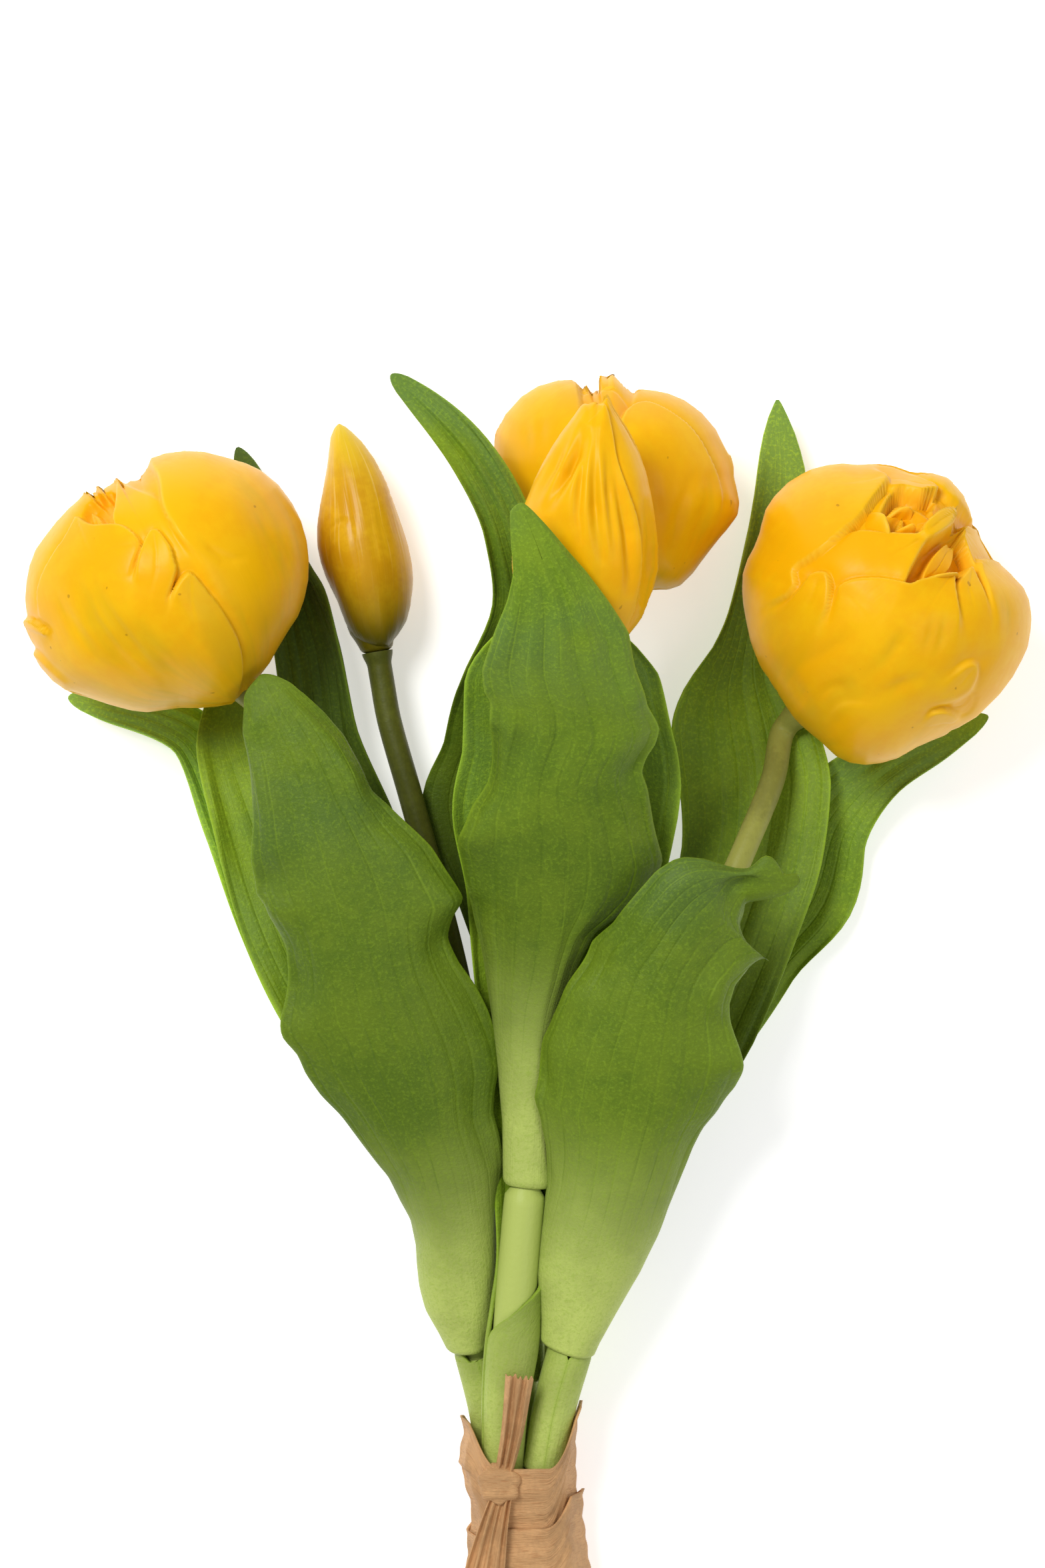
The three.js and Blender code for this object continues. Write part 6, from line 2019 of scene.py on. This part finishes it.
def add_knot(shell):
    """The small tight knot, a crossing of creased paper."""
    latitude = np.linspace(-POLE, POLE, KNOT_ROWS)[:, None] * DEGREE
    azimuth = np.linspace(0, 2 * math.pi, KNOT_COLUMNS, endpoint=False)[None, :]
    crease = 1 + 0.07 * np.sin(6 * latitude + 2 * np.sin(azimuth))
    crease = crease + 0.05 * ripple(azimuth / RIPPLE_TURN, latitude, 11, 7, 4.0)
    flat = np.sign(np.cos(latitude)) * np.abs(np.cos(latitude)) ** 0.8 * crease
    off = np.stack([flat * np.cos(azimuth), np.sin(latitude) * crease, -flat * np.sin(azimuth)], -1)
    points = np.array(KNOT["middle"]) + np.array(KNOT["size"]) * off
    shell.add(points, rod_faces(KNOT_ROWS, KNOT_COLUMNS), sheet(azimuth / 4, latitude * 0.05 + 0.2))


class BUNCH_OT_ribbon(bpy.types.Operator):
    """Makes the paper ribbon: two turns round the stems, the knot and its two tails"""

    bl_idname = "bunch.ribbon"
    bl_label = "Paper ribbon"

    def execute(self, context):
        sizes = context.scene.bunch_sizes
        shell = Shell()
        for order, turn_of in enumerate(TURNS):
            add_turn(shell, turn_of, order, sizes)
        for order, tail in enumerate(TAILS):
            add_tail(shell, tail, order, sizes)
        add_knot(shell)
        shell.make("tie_ribbon", paper_finish(context.scene.bunch_colours), "tie")
        return {"FINISHED"}


def paper_finish(colours):
    """Tan kraft paper with long fibres and darker creases."""

    def build(nodes, place, uv):
        body = nodes.mottled(place, colours.paper, shade(colours.paper, 0.78), Broad=120.0, Fine=1200.0)
        fibre = nodes.streak(uv, 6.0, 260.0)
        base = nodes.tint(body["Colour"], nodes.band(fibre, 0.5, 0.3), 0.55, colours.paper_deep)
        base = nodes.tint(base, nodes.band(fibre, 0.58, 0.75), 0.4, shade(colours.paper, 1.45))
        return base, nodes.times(fibre, 0.15), fibre

    return material("paper_tan", 0.6, build, bump=0.6, depth=0.0006, specular=0.25)


# Table and light.


def lamp(name, place, size, power):
    """A round soft lamp, aimed at the bunch."""
    data = bpy.data.lights.new(name, "AREA")
    data.shape, data.size, data.energy = "DISK", size, power
    light = placed(name, data)
    light.location = place
    light.rotation_euler = (Vector(LAMP_AIM) - Vector(place)).to_track_quat("-Z", "Y").to_euler()


def table_finish(colour):
    """Pale and even, with a light of its own that keeps its shadows soft."""

    def build(nodes, place, uv):
        body = nodes.mottled(place, colour, shade(colour, 0.99), Broad=4.0, Fine=50.0)
        return body["Colour"], nodes.times(body["Grain"], 0.1), body["Grain"]

    finish = material("table_pale", 0.8, build, bump=0.0, specular=0.1)
    shader = finish.node_tree.nodes["Principled BSDF"].inputs
    shader["Emission Color"].default_value = (1.0, 1.0, 1.0, 1.0)
    shader["Emission Strength"].default_value = TABLE_GLOW
    return finish


class BUNCH_OT_stage(bpy.types.Operator):
    """Lays the pale table under the bunch and lights it softly"""

    bl_idname = "bunch.stage"
    bl_label = "Table and light"

    def execute(self, context):
        mesh = bpy.data.meshes.new("table")
        ways = ((-1, -1), (1, -1), (1, 1), (-1, 1))
        corners = [(x * TABLE_REACH, y * TABLE_REACH, TABLE_TOP) for x, y in ways]
        mesh.from_pydata(corners, [], [(0, 1, 2, 3)])
        mesh.uv_layers.new(name="UVMap")
        mesh.materials.append(table_finish(context.scene.bunch_colours.table))
        table = placed("table", mesh)
        for name, values in LAMPS.items():
            lamp(name, *values)
        world = bpy.data.worlds.new("studio")
        world.use_nodes = True
        sky = world.node_tree.nodes["Background"].inputs
        sky["Color"].default_value = (1.0, 1.0, 1.0, 1.0)
        sky["Strength"].default_value = SKY
        context.scene.world = world
        context.scene.view_settings.view_transform = "Standard"
        return {"FINISHED"}


class BUNCH_PT_panel(bpy.types.Panel):
    """The bunch's values and the steps that make it"""

    bl_label = "Bunch of tulips"
    bl_space_type = "VIEW_3D"
    bl_region_type = "UI"
    bl_category = "Tulips"

    def draw(self, context):
        for group_of in (context.scene.bunch_sizes, context.scene.bunch_colours):
            for name in group_of.bl_rna.properties.keys():
                if name not in ("rna_type", "name"):
                    self.layout.prop(group_of, name)
        for operator in OPERATORS:
            self.layout.operator(operator.bl_idname)


OPERATORS = (
    BUNCH_OT_camera,
    BUNCH_OT_stems,
    BUNCH_OT_leaves,
    BUNCH_OT_blooms,
    BUNCH_OT_buds,
    BUNCH_OT_ribbon,
    BUNCH_OT_stage,
)
CLASSES = (BunchSizes, BunchColours, *OPERATORS, BUNCH_PT_panel)


def register():
    for item in CLASSES:
        bpy.utils.register_class(item)
    bpy.types.Scene.bunch_sizes = PointerProperty(type=BunchSizes)
    bpy.types.Scene.bunch_colours = PointerProperty(type=BunchColours)


def unregister():
    del bpy.types.Scene.bunch_colours
    del bpy.types.Scene.bunch_sizes
    for item in reversed(CLASSES):
        bpy.utils.unregister_class(item)


def main():
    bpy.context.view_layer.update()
    register()
    for operator in OPERATORS:
        space, name = operator.bl_idname.split(".")
        getattr(getattr(bpy.ops, space), name)()


if __name__ == "__main__":
    main()
